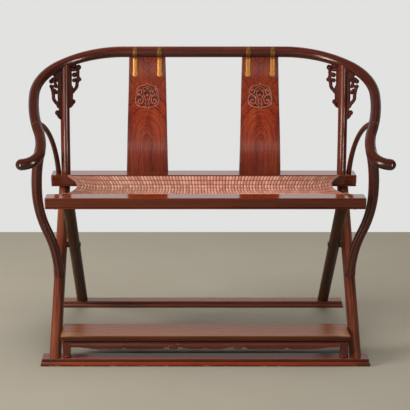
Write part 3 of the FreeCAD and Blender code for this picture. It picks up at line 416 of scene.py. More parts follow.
class Finish:
    """A material or a world made of nodes."""

    def __init__(self, owner):
        owner.use_nodes = True
        self.owner, self.tree = owner, owner.node_tree
        self.tree.nodes.clear()

    def node(self, kind, settings, inputs, output=0):
        """Adds a node with its settings, then its inputs, and gives one of its outputs."""
        made = self.tree.nodes.new(kind)
        for key, value in settings.items():
            if key == "stops":
                ramp = made.color_ramp.elements
                while len(ramp) < len(value):
                    ramp.new(1.0)
                for stop, (place, colour) in zip(ramp, value):
                    stop.position, stop.color = place, (*colour, 1.0)
            else:
                setattr(made, key, value)
        for key, value in inputs.items():
            if isinstance(value, Value):
                self.tree.links.new(value.socket, made.inputs[key])
            else:
                made.inputs[key].default_value = value
        return Value(self, made.outputs[output]) if made.outputs else made

    def attribute(self, name, output):
        return self.node("ShaderNodeAttribute", {"attribute_name": name}, {}, output)

    def place(self, kind="Object"):
        return self.node("ShaderNodeTexCoord", {}, {}, kind)

    def split(self, vector):
        """The three coordinates of a vector."""
        return [self.node("ShaderNodeSeparateXYZ", {}, {"Vector": vector}, k) for k in range(3)]

    def mix(self, share, first, second):
        """Two colours mixed by a share."""
        first, second = (c if isinstance(c, Value) else (*c, 1.0) for c in (first, second))
        inputs = {0: share, 6: first, 7: second}
        return self.node("ShaderNodeMix", {"data_type": "RGBA"}, inputs, 2)

    def layers(self, colour, *coats):
        """Colours laid over a colour one after the other, each given as (share, colour)."""
        for share, over in coats:
            colour = self.mix(share, colour, over)
        return colour

    def noise(self, place, scale, detail=4.0, roughness=0.55, distortion=0.0):
        """Noise stretched by a scale for each axis."""
        moved = self.node("ShaderNodeMapping", {}, {"Vector": place, "Scale": scale})
        inputs = {"Vector": moved, "Scale": 1.0, "Detail": detail}
        inputs.update({"Roughness": roughness, "Distortion": distortion})
        return self.node("ShaderNodeTexNoise", {}, inputs, "Fac")

    def ramp(self, value, low, high):
        """A value spread from 0 at low to 1 at high, and held there."""
        inputs = {0: value, 1: low, 2: high, 3: 0.0, 4: 1.0}
        return self.node("ShaderNodeMapRange", {"clamp": True}, inputs)

    def close(self, colour, rough, bump_height=None, bump_depth=0.0, **constants):
        """Ends the material in a Principled shader; a linked height goes through a Bump node."""
        inputs = {"Base Color": colour, "Roughness": rough}
        inputs.update({key.replace("_", " "): value for key, value in constants.items()})
        if bump_height is not None:
            bump = {"Strength": 1.0, "Distance": bump_depth, "Height": bump_height}
            inputs["Normal"] = self.node("ShaderNodeBump", {}, bump)
        shader = self.node("ShaderNodeBsdfPrincipled", {}, inputs)
        self.node("ShaderNodeOutputMaterial", {}, {"Surface": shader})
        return self.owner


def red_foot(finish, colour):
    """A base rail's bright red lower band, scuffed pale in spots, its scuffed top and dark ends."""
    ramp, place = finish.ramp, finish.place()
    x, _, height = finish.split(place)
    patchy = ramp(finish.noise(place, (9.0, 30.0, 50.0)), 0.25, 0.6)
    scuff_and_highlight = ramp(finish.noise(place, (45.0, 60.0, 160.0)), 0.55, 0.64)
    return finish.layers(
        colour,
        (ramp(height, 0.015, 0.0136) * (0.26 + patchy * 0.6), (0.34, 0.042, 0.01)),
        (ramp(height, 0.0226, 0.023) * 0.7, (0.27, 0.08, 0.036)),
        (ramp(abs(x), 0.44, 0.5) * 0.55, (0.04, 0.01, 0.006)),
        (ramp(height, 0.005, 0.0022) * scuff_and_highlight, (0.5, 0.26, 0.09)),
    )


def dark_arms(finish, colour):
    """A crest rail that darkens forwards, along the arms."""
    _, forward, _ = finish.split(finish.place())
    return finish.mix(finish.ramp(forward, 0.235, 0.08) * 0.42, colour, (0.016, 0.006, 0.004))


def golden_front_corners(finish, colour):
    """A board with a scuffed top, and golden brown near its two front corners."""
    ramp, place = finish.ramp, finish.place()
    x, y, z = finish.split(place)
    end = ramp(abs(x), 0.36, 0.452)
    front = ramp(y, -0.255, -0.303) * ramp(z, 0.0955, 0.098)
    patch = ramp(finish.noise(place, (34.0, 70.0, 34.0)) + end * 0.22, 0.52, 0.66)
    return finish.layers(
        colour,
        (ramp(z, 0.098, 0.0989) * 0.5, (0.25, 0.08, 0.032)),
        (end * front * patch * 0.6, (0.36, 0.17, 0.07)),
    )


def fibres(finish, grain, lines_across, lines_along, lines_rough, pores_along):
    """Streaks, fine lines and pores drawn out along the grain, and how far the pores darken."""
    streaks = finish.noise(grain, (95.0, 95.0, 3.2), 5.0, 0.62, 0.35)
    lines = finish.noise(grain, (lines_across, lines_across, lines_along), 3.0, lines_rough)
    pores = finish.noise(grain, (1500.0, 1500.0, pores_along), 2.0, 0.6)
    return streaks, lines, pores, finish.ramp(pores, 0.4, 0.28)


def polish(finish, colour, rough, lines, pores, coat, specular):
    """Ends a wood: its pores and lines are a fine relief under a clear coat."""
    return finish.close(
        colour, rough, pores * 0.6 + lines * 0.4, 0.00008,
        Coat_Weight=coat, Coat_Roughness=0.05, Specular_IOR_Level=specular,
    )


def rosewood(name, dark, mid, light, gloss, coat, specular=0.4, touch=None, by_grain=True):
    """Polished rosewood: long dark streaks and fine pores along the grain.

    Its dark, mid and light colours are in thousandths.
    """
    finish = Finish(bpy.data.materials.new(name))
    grain = finish.attribute("grain", "Vector") if by_grain else finish.place()
    dark, mid, light = np.array((dark, mid, light)) / 1000.0
    drift = finish.noise(grain, (9.0, 9.0, 1.7), 2.0)
    streaks, lines, pores, pore = fibres(finish, grain, 330.0, 7.0, 0.5, 55.0)
    tone = streaks * 0.62 + lines * 0.26 + drift * 0.3
    stops = [(0.36, dark), (0.56, mid), (0.8, light)]
    colour = finish.layers(
        finish.node("ShaderNodeValToRGB", {"stops": stops}, {0: tone}),
        (finish.ramp(streaks, 0.36, 0.27) * 0.55, 0.3 * dark),
        (pore * 0.45, 0.35 * dark),
    )
    colour = touch(finish, colour) if touch else colour
    rough = gloss + (lines - 0.5) * 0.12 + pore * 0.12
    return polish(finish, colour, rough, lines, pores, coat, specular)


def figured_rosewood(name):
    """The splats' board: rings round a low centre, arches above it and Vs that point down on top.

    A ring's number is the length of (across / pitch, up / pitch), with a longer pitch below the
    centre; a V's number is (up - 1.8 across) / pitch. The dark lines are the crests of its sine.
    """
    finish = Finish(bpy.data.materials.new(name))
    ramp, noise = finish.ramp, finish.noise
    grain = finish.attribute("grain", "Vector")
    x, _, along = finish.split(grain)
    sway = noise(grain, (17.0, 17.0, 9.0), 2.0) - 0.5
    ripple = (noise(grain, (130.0, 130.0, 30.0), 3.0) - 0.5) * 1.3
    up = (along - 0.1 + sway * 0.044) * (17.0 + ramp(along, 0.08, 0.12) * 58.0)
    side = (x + sway * 0.032) * 138.0
    oval = (side * side + up * up + 0.05) ** 0.5 + ripple
    wedge = (along - (x * x + 0.00003) ** 0.5 * 1.8 + sway * 0.04) * 60.0 + ripple
    top = ramp(along, 0.27, 0.315)
    waves = []
    for field in (oval, wedge):
        number = finish.node("ShaderNodeCombineXYZ", {}, {0: field})
        uneven = ramp(noise(number, (0.85, 1.0, 1.0), 3.0, 0.65), 0.34, 0.68)
        waves.append(((field * 6.2832).sine() * 0.5 + 0.5) * 0.36 + uneven * 0.8)
    wave = waves[0] * (1.0 - top) + waves[1] * top
    broad = noise(grain, (30.0, 30.0, 8.0), 3.0, 0.6)
    streaks, lines, pores, pore = fibres(finish, grain, 420.0, 12.0, 0.55, 60.0)
    # The carving's value is 1 in the hollows, which darken below as painted shade, and -1 on the
    # ridges, which pale below as a painted highlight.
    cut = finish.attribute("wear", "Fac")
    carved, scuff_and_highlight = ramp(cut, 0.0, 1.0), ramp(cut, 0.0, -1.0)
    bright = finish.mix(top * 0.8, (0.455, 0.074, 0.023), (0.36, 0.044, 0.001))
    strength = ramp(broad, 0.22, 0.62) * 0.4 + 0.46
    colour = finish.layers(
        (0.23, 0.022, 0.01),
        (ramp(broad + lines * 0.45, 0.52, 0.92), bright),
        (ramp(wave, 0.42, 0.98) * strength, (0.042, 0.008, 0.005)),
        # Painted shade: darker towards the splat's foot, where it meets the seat rail.
        (ramp(along, 0.08, 0.015) * 0.32, (0.06, 0.006, 0.003)),
        (ramp(abs(x), 0.05, 0.068) * 0.5, (0.06, 0.013, 0.009)),
        (pore * 0.4, (0.02, 0.004, 0.003)),
        (ramp(streaks, 0.5, 0.3) * 0.45, (0.05, 0.008, 0.006)),
        (carved * 0.8, (0.03, 0.006, 0.005)),
        (scuff_and_highlight * 0.5, (0.48, 0.185, 0.125)),
    )
    rough = 0.22 + (lines - 0.5) * 0.1 + pore * 0.1 + carved * 0.15
    return polish(finish, colour, rough, lines, pores, 0.1, 0.4)


def brass(name, bright, dull, rough, dark_above=2.0):
    """Polished brass: scratches, a brown patina in soft patches, all brown above a height, and
    darker on a strap's border: patina in its scored groove and painted shade at its edges.
    """
    finish = Finish(bpy.data.materials.new(name))
    place = finish.place()
    _, _, height = finish.split(place)
    patch = finish.noise(place, (55.0, 55.0, 55.0), 4.0, 0.6)
    scratch = finish.noise(place, (1400.0, 1400.0, 160.0), 2.0)
    high = finish.ramp(height + patch * 0.01, dark_above, dark_above + 0.006)
    patina = finish.ramp(finish.ramp(patch, 0.52, 0.78) * 0.4 + high * 0.85, 0.0, 1.0)
    # A strap's darker border: patina in the scored groove, painted shade at the edges.
    border_patina_and_shade = finish.attribute("wear", "Fac") * 0.75
    colour = finish.layers(bright, (patina, dull), (border_patina_and_shade, dull))
    shine = rough + patina * 0.16 + (scratch - 0.5) * 0.14
    return finish.close(colour, shine, scratch, 0.00004, Metallic=0.45)


def woven_cord(name):
    """Cotton cord: tan at the left, redder to the right, with fibres; painted shade darkens it
    towards both ends, between the cords, under the web and between a rope's swells.
    """
    finish = Finish(bpy.data.materials.new(name))
    ramp, noise = finish.ramp, finish.noise
    grain = finish.attribute("grain", "Vector")
    height = finish.attribute("wear", "Fac")
    x, _, tone = finish.split(grain)
    broad = noise(grain, (6.0, 12.0, 0.0), 3.0, 0.6)
    cords = noise(grain, (98.0, 16.0, 0.0), 2.0)
    speck = noise(grain, (150.0, 95.0, 0.0), 3.0, 0.6)
    fibre = noise(grain, (1300.0, 700.0, 0.0), 2.0)
    # Painted shade towards both ends of the web.
    ends = ramp(abs(x), 0.2, 0.42)
    colour = finish.layers(
        (0.54, 0.268, 0.166),
        (ramp(ramp(x, -0.42, 0.05) * 0.55 + broad, 0.55, 1.05), (0.56, 0.21, 0.136)),
        (ends * 0.85, (0.22, 0.08, 0.042)),
        (ramp(tone + cords * 0.8, 0.8, 1.25) * (0.46 - ends * 0.2), (0.7, 0.41, 0.29)),
        (ramp(tone - speck * 0.8, 0.05, -0.3) * 0.7, (0.33, 0.105, 0.068)),
        # Painted shade where the value kept with the points is low.
        (ramp(height, 0.86, 0.42) * 0.88, (0.15, 0.042, 0.026)),
    )
    rough = 0.82 + (fibre - 0.5) * 0.2
    return finish.close(colour, rough, fibre + speck * 0.6, 0.0006, Sheen_Weight=0.12)


# Each wood: dark, mid and light colours, roughness, coat, mirror strength and a last touch
WOODS = {
    "crest": ((20, 4, 3), (70, 13, 8), (130, 29, 15), 0.2, 0.35, 0.4, dark_arms),
    "post": ((26, 5, 3), (115, 20, 10), (230, 50, 20), 0.26, 0.25, 0.35),
    "arm post": ((20, 4, 3), (78, 14, 8), (150, 32, 16), 0.27, 0.15, 0.35),
    "leg": ((16, 4, 3), (110, 25, 13), (310, 84, 36), 0.3, 0.1),
    # The legs that stand behind take a darker, duller copy of the leg wood: painted shade.
    "inner leg": ((16, 6, 3), (60, 22, 9), (140, 50, 17), 0.4, 0.0, 0.15),
    "seat rail": ((36, 5, 2), (118, 15, 3), (190, 32, 6), 0.15, 0.6, 0.3),
    "base rail": ((34, 6, 3), (110, 20, 9), (190, 42, 16), 0.28, 0.0, 0.3, red_foot),
    "rear base rail": ((42, 10, 5), (140, 34, 17), (215, 60, 27), 0.28, 0.0, 0.35),
    "footrest board": ((32, 7, 2), (105, 24, 6), (180, 48, 13), 0.28, 0.0, 0.3, golden_front_corners),
    "apron": ((34, 6, 3), (122, 18, 9), (205, 40, 17), 0.3, 0.0),
    "carved": ((16, 3, 2), (60, 9, 6), (115, 21, 12), 0.36, 0.0, 0.15),
}
WOOD = {kind: rosewood(kind + " rosewood", *look) for kind, look in WOODS.items()}
PEG_WOOD = rosewood("peg wood", (12, 4, 3), (30, 10, 7), (55, 18, 12), 0.34, 0.1, by_grain=False)
SPLAT_WOOD = figured_rosewood("figured rosewood")
STRAP_BRASS = brass("strap brass", (0.58, 0.255, 0.044), (0.14, 0.06, 0.011), 0.3, 0.908)
PIVOT_BRASS = brass("pivot brass", (0.06, 0.038, 0.018), (0.03, 0.018, 0.01), 0.42)
CORD = woven_cord("seat cord")


def lap_block(low, high, count, kept, nick=0.00006):
    """Stations of a length of rail, nicked by a hair at both ends so that a seam shows there."""
    inset, hair = 0.0008, 0.00005
    inside = np.linspace(low + inset, high - inset, count)
    relief = np.zeros(count + 2)
    relief[[0, -1]] = nick
    return np.r_[low + hair, inside, high - hair], relief, np.full(count + 2, kept)


def rail_radius(distance):
    """The crest rail's radius: slimmer from the shoulders on."""
    return CREST_RADIUS + 0.0006 - 0.0016 * smooth((np.abs(distance) - 0.28) / 0.3)


def grip_radius(distance):
    """The arm's radius: stouter towards the grip, which ends in half a ball."""
    stem = CREST_RADIUS - 0.001 + 0.0012 * smooth((distance - CREST.wrist_end) / 0.07)
    ball = half_round(np.clip((distance - CREST.length) / GRIP_BALL, 0.0, 1.0))
    return np.maximum(stem * ball, 0.0004)


def crest_length(blocks, radius=rail_radius):
    """A length of crest rail: a circle carried along the crest route.

    A block with a side kept is half of a lap joint: the circle's other half is flattened onto the
    route's plane. Distances left of the middle are mirrored from the right.
    """
    distance, relief, kept = (np.concatenate(part)[:, None] for part in zip(*blocks))
    theta = ring_angles(48)
    seam = 0.0004 * bell(np.sin(theta), 0.06) * (kept != 0)
    size = radius(distance) - relief - seam
    aside, through = size * np.cos(theta), size * np.sin(theta)
    through = np.where(kept > 0, np.maximum(through, 0.0), through)
    through = np.where(kept < 0, np.minimum(through, 0.0), through)
    points, grain = swept(CREST, np.abs(distance[:, 0]), aside, through)
    side = np.where(distance < 0.0, -1.0, 1.0)
    points[..., 0] *= side
    grain[..., 2] *= side
    return Skin().rings(points, grain)


def make_crest():
    """The crest rail in five lengths, lapped at the shoulders and at the arms."""
    low, high = BACK_LAP
    nick = 0.0004
    centre = [lap_block(-high, -low, 10, -1), lap_block(-low, low, 24, 0)]
    centre.append(lap_block(low, high, 10, -1))
    wood, body = WOOD["crest"], "back_frame"
    dress("crest_centre_rail", crest_length(centre), wood, body, ["crest_centre"])
    corner = [lap_block(low, high, 10, 1), lap_block(high, ARM_LAP[0], 90, 0)]
    corner.append(lap_block(*ARM_LAP, 12, -1, nick))
    dress_pair("crest_corner_rail", crest_length(corner), wood, body, ["crest_corner"])
    tip = CREST.length + GRIP_BALL * np.sin(np.radians(np.linspace(-60.0, 89.0, 22)))
    stem = np.linspace(ARM_LAP[1] + 0.0008, tip[0] - 0.002, 60)
    grip = np.r_[ARM_LAP[1], stem, tip]
    plain = np.zeros(len(grip))
    arm = [lap_block(*ARM_LAP, 12, 1, nick), (grip, nick * (grip == grip[0]), plain)]
    dress_pair("crest_arm_grip", crest_length(arm, grip_radius), wood, body, ["crest_arm"])


def make_back_posts():
    """A back post: a circle along its bow, a little stouter at the crest rail."""
    distance = np.linspace(0.0, POST.length - 0.006, 60)
    stout = 0.0008 * smooth((distance - POST.length + 0.12) / 0.12)
    size = POST_RADIUS + 0.0007 + stout - 0.0006 * smooth(1.0 - distance / 0.004)
    skin = round_bar(POST, distance, size, 40)
    dress_pair("back_post_bowed", skin, WOOD["post"], "back_frame", ["back_post"])


def make_arm_posts():
    """An arm post: a round bar along its S with three beads down the front, flared into the arm.

    Round the front the radius falls short by a depth times the cube of f, where f runs from 0 in
    the middle of each bead to 1 at its edges, so two sharp grooves part the beads. The foot is cut
    level: each point of the first run slides along the heading to the seam's height.
    """
    foot = np.linspace(0.0, ARM_FOOT_RUN, 5)
    rest = np.linspace(ARM_FOOT_RUN + 0.004, ARM_POST.length - 0.004, 120)
    distance = np.r_[foot, rest][:, None]
    left = ARM_POST.length - distance
    theta = ring_angles(120)
    bead, beaded = 54.0, 81.0
    front = np.degrees((theta + np.pi / 2.0 + np.pi) % (2.0 * np.pi) - np.pi)
    across = ((front + beaded) % bead) / (bead / 2.0) - 1.0
    groove = np.abs(across) ** 3 * (np.abs(front) < beaded)
    fade = 0.15 + 0.85 * smooth((left - 0.03) / 0.2)
    flare = 0.0004 * smooth((0.055 - left) / 0.055) + 0.0016 * smooth(1.0 - distance / 0.05)
    slim = smooth(distance / 0.06) * smooth((0.34 - distance) / 0.14)
    size = ARM_POST_RADIUS + flare - 0.0012 * slim - 0.0032 * groove * fade
    aside, through = size * np.cos(theta) + 0.0022 * slim, size * np.sin(theta)
    points, grain = swept(ARM_POST, distance[:, 0], aside, through)
    heading = ARM_POST.headings[0]
    slide = (ARM_SEAM_HEIGHT + foot[:, None] * heading[2] - points[:5, :, 2]) / heading[2]
    points[:5] += slide[..., None] * (1.0 - foot / ARM_FOOT_RUN)[:, None, None] * heading
    skin = Skin().rings(points, grain)
    dress_pair("arm_post_beaded", skin, WOOD["arm post"], "back_frame", ["arm_post"], crease=50.0)


def make_side_braces():
    """A side brace: a slim round bar along its bow, thinner in the middle."""
    distance = np.linspace(-0.01, BRACE.length - 0.008, 70)
    size = 0.009 - 0.0008 * np.sin(np.pi * np.clip(distance / BRACE.length, 0.0, 1.0))
    skin = round_bar(BRACE, distance, size, 28)
    dress_pair("side_brace_bowed", skin, WOOD["arm post"], "back_frame", ["side_brace"])


def leg_skin(x, ends, ledge):
    """A slanting round leg in level slices: each is an ellipse, longer by 1 / sine of the slope.

    Under the arm post's seam the front of the slice bulges to meet the post, and the bulge fades
    downwards.
    """
    (y0, z0), (y1, z1) = ends
    sine = math.sin(math.atan2(z1 - z0, abs(y1 - y0)))
    seam = ARM_SEAM_HEIGHT
    height = np.linspace(z0, z1, 60)
    if ledge:
        low, high = np.linspace(z0, seam - 0.001, 40), np.linspace(0.24, z1, 24)
        height = np.r_[low, seam - 0.0003, seam + 0.0005, high]
    height = height[:, None]
    bulge = ledge * np.where(height < seam, smooth((height - 0.15) / 0.075), 0.0)
    chamfer = 0.0006 * (np.abs(height - seam + 0.0003) < 0.0002) * bool(ledge)
    theta = ring_angles(48)
    centre = y0 + (y1 - y0) * ((height - z0) / (z1 - z0))
    size = LEG_RADIUS - chamfer
    across = size * np.cos(theta)
    depth = (size / sine + bulge * np.clip(-np.sin(theta), 0.0, 1.0)) * np.sin(theta)
    points = stacked(x + across, centre + depth, height)
    return Skin().rings(points, stacked(across, depth * sine, height / sine))


def make_legs():
    """The outer legs with a ledge under the arm posts, and the inner legs."""
    outer, inner = leg_skin(LEG_X, OUTER_LEG, 0.0055), leg_skin(INNER_LEG_X, INNER_LEG, 0.0)
    dress_pair("outer_leg_turned", outer, WOOD["leg"], "back_frame", ["outer_leg"])
    dress_pair("inner_leg_turned", inner, WOOD["inner leg"], "front_frame", ["inner_leg"])


def seat_rail_profile(low):
    """A seat rail's edge from bottom to top: a bead, a groove, a flat face and a round arris."""
    bead, arris = 0.0024, 0.0034
    return (
        [(0.0045, low), (0.0036, low + 0.0003)] + edge_arc(bead, low + 0.003, bead, -70.0, 130.0, 7)
        + [(0.0019, low + 0.0062), (0.0013, low + 0.0068), (0.0006, low + 0.0078)]
        + [(0.0, SEAT_TOP - 0.006)] + edge_arc(arris, SEAT_TOP - arris, arris, 0.0, 90.0, 7)
        + [(0.006, SEAT_TOP)]
    )


def base_rail_profile():
    """A base rail's edge from bottom to top: a swelling foot, a step, a cove and a round arris."""
    swell, arris = 0.0022, 0.0024
    edge = [(0.0016, 0.0), (0.001, 0.0006)]
    for angle in range(40, 181, 14):
        inset = swell - swell * math.sin(math.radians(angle)) + swell * (angle > 90)
        edge.append((inset, 0.0006 + 0.0136 * angle / 180.0))
    edge += [(0.0042, 0.0146), (0.0052, 0.015), (0.0052, 0.0157), (0.0044, 0.0166)]
    return edge + edge_arc(0.0066, BASE_TOP - arris, arris, 0.0, 90.0) + [(0.0085, BASE_TOP)]


def make_rails():
    """The two seat rails and the two base rails."""
    for name, y, half, low, body in (
        ("front_seat_rail", FRONT_SEAT_Y, (0.5115, 0.031), FRONT_RAIL_UNDER, "front_frame"),
        ("rear_seat_rail", REAR_SEAT_Y, (0.5235, 0.039), REAR_RAIL_UNDER, "back_frame"),
    ):
        profile = seat_rail_profile(low)
        make_board(name + "_moulded", y, half, profile, 0.003, WOOD["seat rail"], body, name)
    for name, y, half, wood, body in (
        ("front_base_rail", FRONT_BASE_Y, (0.525, 0.032), "base rail", "back_frame"),
        ("rear_base_rail", REAR_BASE_Y, (0.509, 0.0275), "rear base rail", "front_frame"),
    ):
        make_board(name + "_moulded", y, half, base_rail_profile(), 0.0015, WOOD[wood], body, name)


def make_footrest():
    """The footrest: moulded board, waist, bulging apron with leaf scrolls, feet and rear strip."""
    middle = (FOOTREST_FRONT + FOOTREST_REAR) / 2.0
    half = (FOOTREST_HALF, (FOOTREST_REAR - FOOTREST_FRONT) / 2.0)
    profile = (
        [(0.006, BOARD_UNDER), (0.0026, BOARD_UNDER)]
        + edge_arc(0.0022, 0.0846, 0.0015, -70.0, 150.0, 7)
        + [(0.0026, 0.0863), (0.0018, 0.0868), (0.0006, 0.0874), (0.0002, 0.089), (0.0002, 0.096)]
        + edge_arc(0.0024, BOARD_TOP - 0.0022, 0.0022, 0.0, 90.0) + [(0.006, BOARD_TOP)]
    )
    body = "footrest"
    wood = WOOD["footrest board"]
    name = "footrest_board"
    make_board(name + "_moulded", middle, half, profile, 0.0025, wood, body, name)
    y, half = FOOTREST_FRONT + 0.015, (FOOTREST_HALF - 0.009, 0.006)
    profile = [(0.0008, 0.0778), (0.0012, 0.08), (0.0008, 0.0822)]
    profile = [(0.0, APRON_TOP)] + profile + [(0.0, BOARD_UNDER)]
    # The recessed waist strip takes a dark wood: painted shade in its recess.
    wood = WOOD["carved"]
    make_board("footrest_waist_strip", y, half, profile, 0.001, wood, body, "footrest_waist")
    make_apron()
    make_footrest_feet()
    y, half = FOOTREST_REAR - 0.01, (FOOTREST_HALF - 0.004, 0.006)
    profile = [(0.0018, 0.065)] + edge_arc(0.0016, 0.0666, 0.0016, -90.0, 90.0, 5)
    profile += [(0.0, BOARD_UNDER)]
    wood = WOOD["apron"]
    make_board("footrest_rear_strip", y, half, profile, 0.001, wood, body, "footrest_rear_apron")


def apron_edge(x):
    """The height of the apron's lower edge: straight, notched, and rising to the feet."""
    side = np.abs(x)
    feet = 0.0065 * smooth((side - 0.335) / 0.08)
    small = 0.0045 * bell(side - 0.259, 0.0065)
    middle = 0.0042 * np.clip(1.0 - side / 0.013, 0.0, 1.0)
    high = np.clip((side - 0.04) / 0.048, 0.0, 1.0) ** 1.3 * smooth((0.0905 - side) / 0.004)
    outer = smooth((0.14 - side) / 0.022) * smooth((side - 0.1135) / 0.005)
    return 0.0535 + feet + small + middle + 0.0085 * high + 0.008 * outer


def make_apron():
    """The apron: at each place along X a section from its cut lower edge to its top.

    The front is a raised sine with a bead along the lower edge. Leaf scrolls stand out beside the
    high notches as ridges along spirals.
    """
    notch = np.linspace(0.243, 0.275, 24)
    places = [np.linspace(-0.4295, 0.4295, 200), np.linspace(-0.14, 0.14, 240), -notch, notch]
    x = np.unique(np.concatenate(places))[:, None]
    up = np.r_[np.linspace(0.0, 0.22, 9), np.linspace(0.27, 1.0, 12)]
    low = apron_edge(x)
    z_front = low + (APRON_TOP - low) * up
    bead = 0.0012 * bell(z_front - low - 0.002, 0.0014)
    bulge = 0.0044 * np.sin(np.pi * np.clip(0.12 + 0.88 * up, 0.0, 1.0)) ** 0.8
    leaf = np.r_[
        spiral((0.1025, 0.062), 0.0062, 0.0012, 200.0, -1.3),
        smooth_curve([(90.5, 65.5), (97, 69.5), (107, 69), (116, 64.5), (130, 61)]) * MM,
        smooth_curve([(93.5, 58.5), (100, 56), (107.5, 57.5), (113.5, 61.5)]) * MM,
    ]
    off = np.hypot(np.abs(x)[..., None] - leaf[:, 0], z_front[..., None] - leaf[:, 1])
    ridge = 0.0016 * half_round(np.min(off, axis=-1) / 0.0021)
    y_front = FOOTREST_FRONT + 0.0062 - bulge - bead - ridge
    y_back = np.full((len(x), 6), FOOTREST_FRONT + 0.016)
    z_back = low + (APRON_TOP - low) * np.linspace(1.0, 0.0, 6)
    y, z = np.hstack([y_front, y_back]), np.hstack([z_front, z_back])
    points = stacked(x, y, z)
    skin = Skin().rings(points, points[..., [1, 2, 0]])
    apron = ["footrest_apron"]
    dress("footrest_apron_carved", skin, WOOD["apron"], "footrest", apron, crease=50.0)


def make_footrest_feet():
    """A front foot: rounded squares that widen upwards, above a round pad."""
    centre_x, centre_y = FOOTREST_HALF - 0.018, FOOTREST_FRONT + 0.017
    low, pad_top = 0.0233, 0.0331
    pad = np.linspace(-1.0, 1.0, 9)
    pad_half = 0.012 + 0.0022 * half_round(pad)
    rise = np.linspace(0.0, 1.0, 16)
    height = np.r_[low + 0.0044 * (pad + 1.0), pad_top + (APRON_TOP - pad_top) * rise]
    half_x = np.r_[pad_half, 0.0114 + 0.0026 * rise ** 0.9]
    half_y = np.r_[pad_half * 0.92, 0.011 + 0.002 * rise ** 1.5]
    corner = np.r_[pad_half * 0.9, 0.0045 - 0.002 * rise]
    x, y = rounded_rectangle(half_x[:, None], half_y[:, None], corner[:, None], 7)
    points = stacked(centre_x + x, centre_y + y, height[:, None])
    skin = Skin().rings(points, points)
    dress_pair("footrest_foot_hollowed", skin, WOOD["apron"], "footrest", ["footrest_foot"])


# The right half of a medallion's carved lines in millimetres from its centre: the points that each
# passes through, how many points it is drawn with, its half width and its height
MEDALLION_LINES = (
    ([(0, 43), (5, 37), (14, 34.5), (25, 32.5), (34, 25), (36, 14), (29, 7.5), (20.5, 11),
      (19.5, 20), (26, 23), (29, 17)], 170, 2.5, 2.7),
    ([(5, -36), (14, -33.5), (27, -31), (37.5, -22), (41, -9), (37, 2), (27, 5), (17, 0),
      (13.5, -11), (18, -20.5), (27, -21.5), (31, -14), (26.5, -8.5), (22, -12.5)], 230, 2.6, 2.9),
    ([(2.5, -35), (6.5, -25), (5, -13), (8, -4), (12, 6), (11, 15), (4, 19)], 100, 2.3, 2.5),
    ([(0, 34), (6, 29), (13, 27), (15, 21), (10, 17)], 60, 2.1, 2.4),
    ([(11, -35), (9.5, -27), (12, -22)], 30, 2.0, 2.0),
    ([(37, 13), (40.5, 7), (40, 0)], 30, 2.0, 2.2),
    ([(3, 12.5), (7.5, 8), (7, 1), (2.5, -3.5)], 40, 1.3, 2.0),
    ([(15.5, 29.5), (24, 27.5), (29.5, 21.5), (31.5, 15)], 50, 1.3, 2.0),
    ([(20, -26.5), (29, -26), (35, -18.5), (36.5, -9), (33, -1.5), (26, 0.5)], 80, 1.4, 2.1),
    ([(0, -13.5), (3, -18), (2.5, -28)], 30, 1.2, 1.9),
    ([(9.5, -9), (9.5, -17), (13, -26), (20, -30)], 50, 1.3, 1.9),
    ([(14.5, 9), (17, 3.5), (24, 1.5)], 30, 1.3, 1.9),
    ([(3, 22), (7, 24), (8, 20.5)], 20, 1.2, 1.8),
)
# Its knobs on the middle line: height above the centre and radius
MEDALLION_KNOBS = ((5, 4.6), (-9, 3.2), (-24, 3.0), (25, 3.6), (42, 2.8))


def medallion_relief(across, up):
    """Height and painted light of the carving: the tallest half-round ridge of all strokes, on sunk
    ground.

    The ground is a disc, drawn in at its two lower sides and out to a point at the top. The painted
    light is 1 in the hollows, for painted shade, and -1 on the ridges, for a painted highlight.
    """
    strokes = [(np.array([[0.0, middle]]), radius, 2.8) for middle, radius in MEDALLION_KNOBS]
    for controls, count, width, height in MEDALLION_LINES:
        points = smooth_curve(controls, count)
        strokes += [(points * (sign, 1.0), width, height) for sign in (1.0, -1.0)]
    place = stacked(across, up / 1.1) * 1000.0
    ridge = np.zeros(across.shape)
    for points, width, height in strokes:
        near = np.min(np.linalg.norm(place[..., None, :] - points, axis=-1), axis=-1) / width
        ridge = np.maximum(ridge, height * half_round(near))
    angle = np.arctan2(place[..., 0], place[..., 1])
    disc, drawn, fade, sunk = 39.0, 4.0, 4.0, 0.8
    reach = disc - drawn * bell(np.abs(angle) - 2.3, 0.5) + drawn * bell(angle, 0.16)
    inside = smooth((reach - np.linalg.norm(place, axis=-1)) / fade)
    relief = np.maximum(ridge - sunk, -sunk * inside)
    # The hollows get painted shade and the ridge tops a painted highlight.
    hollow = np.clip(inside * (1.0 - ridge / 1.7), 0.0, 1.0)
    return relief * MM, hollow - smooth((ridge - 1.9) / 0.6)


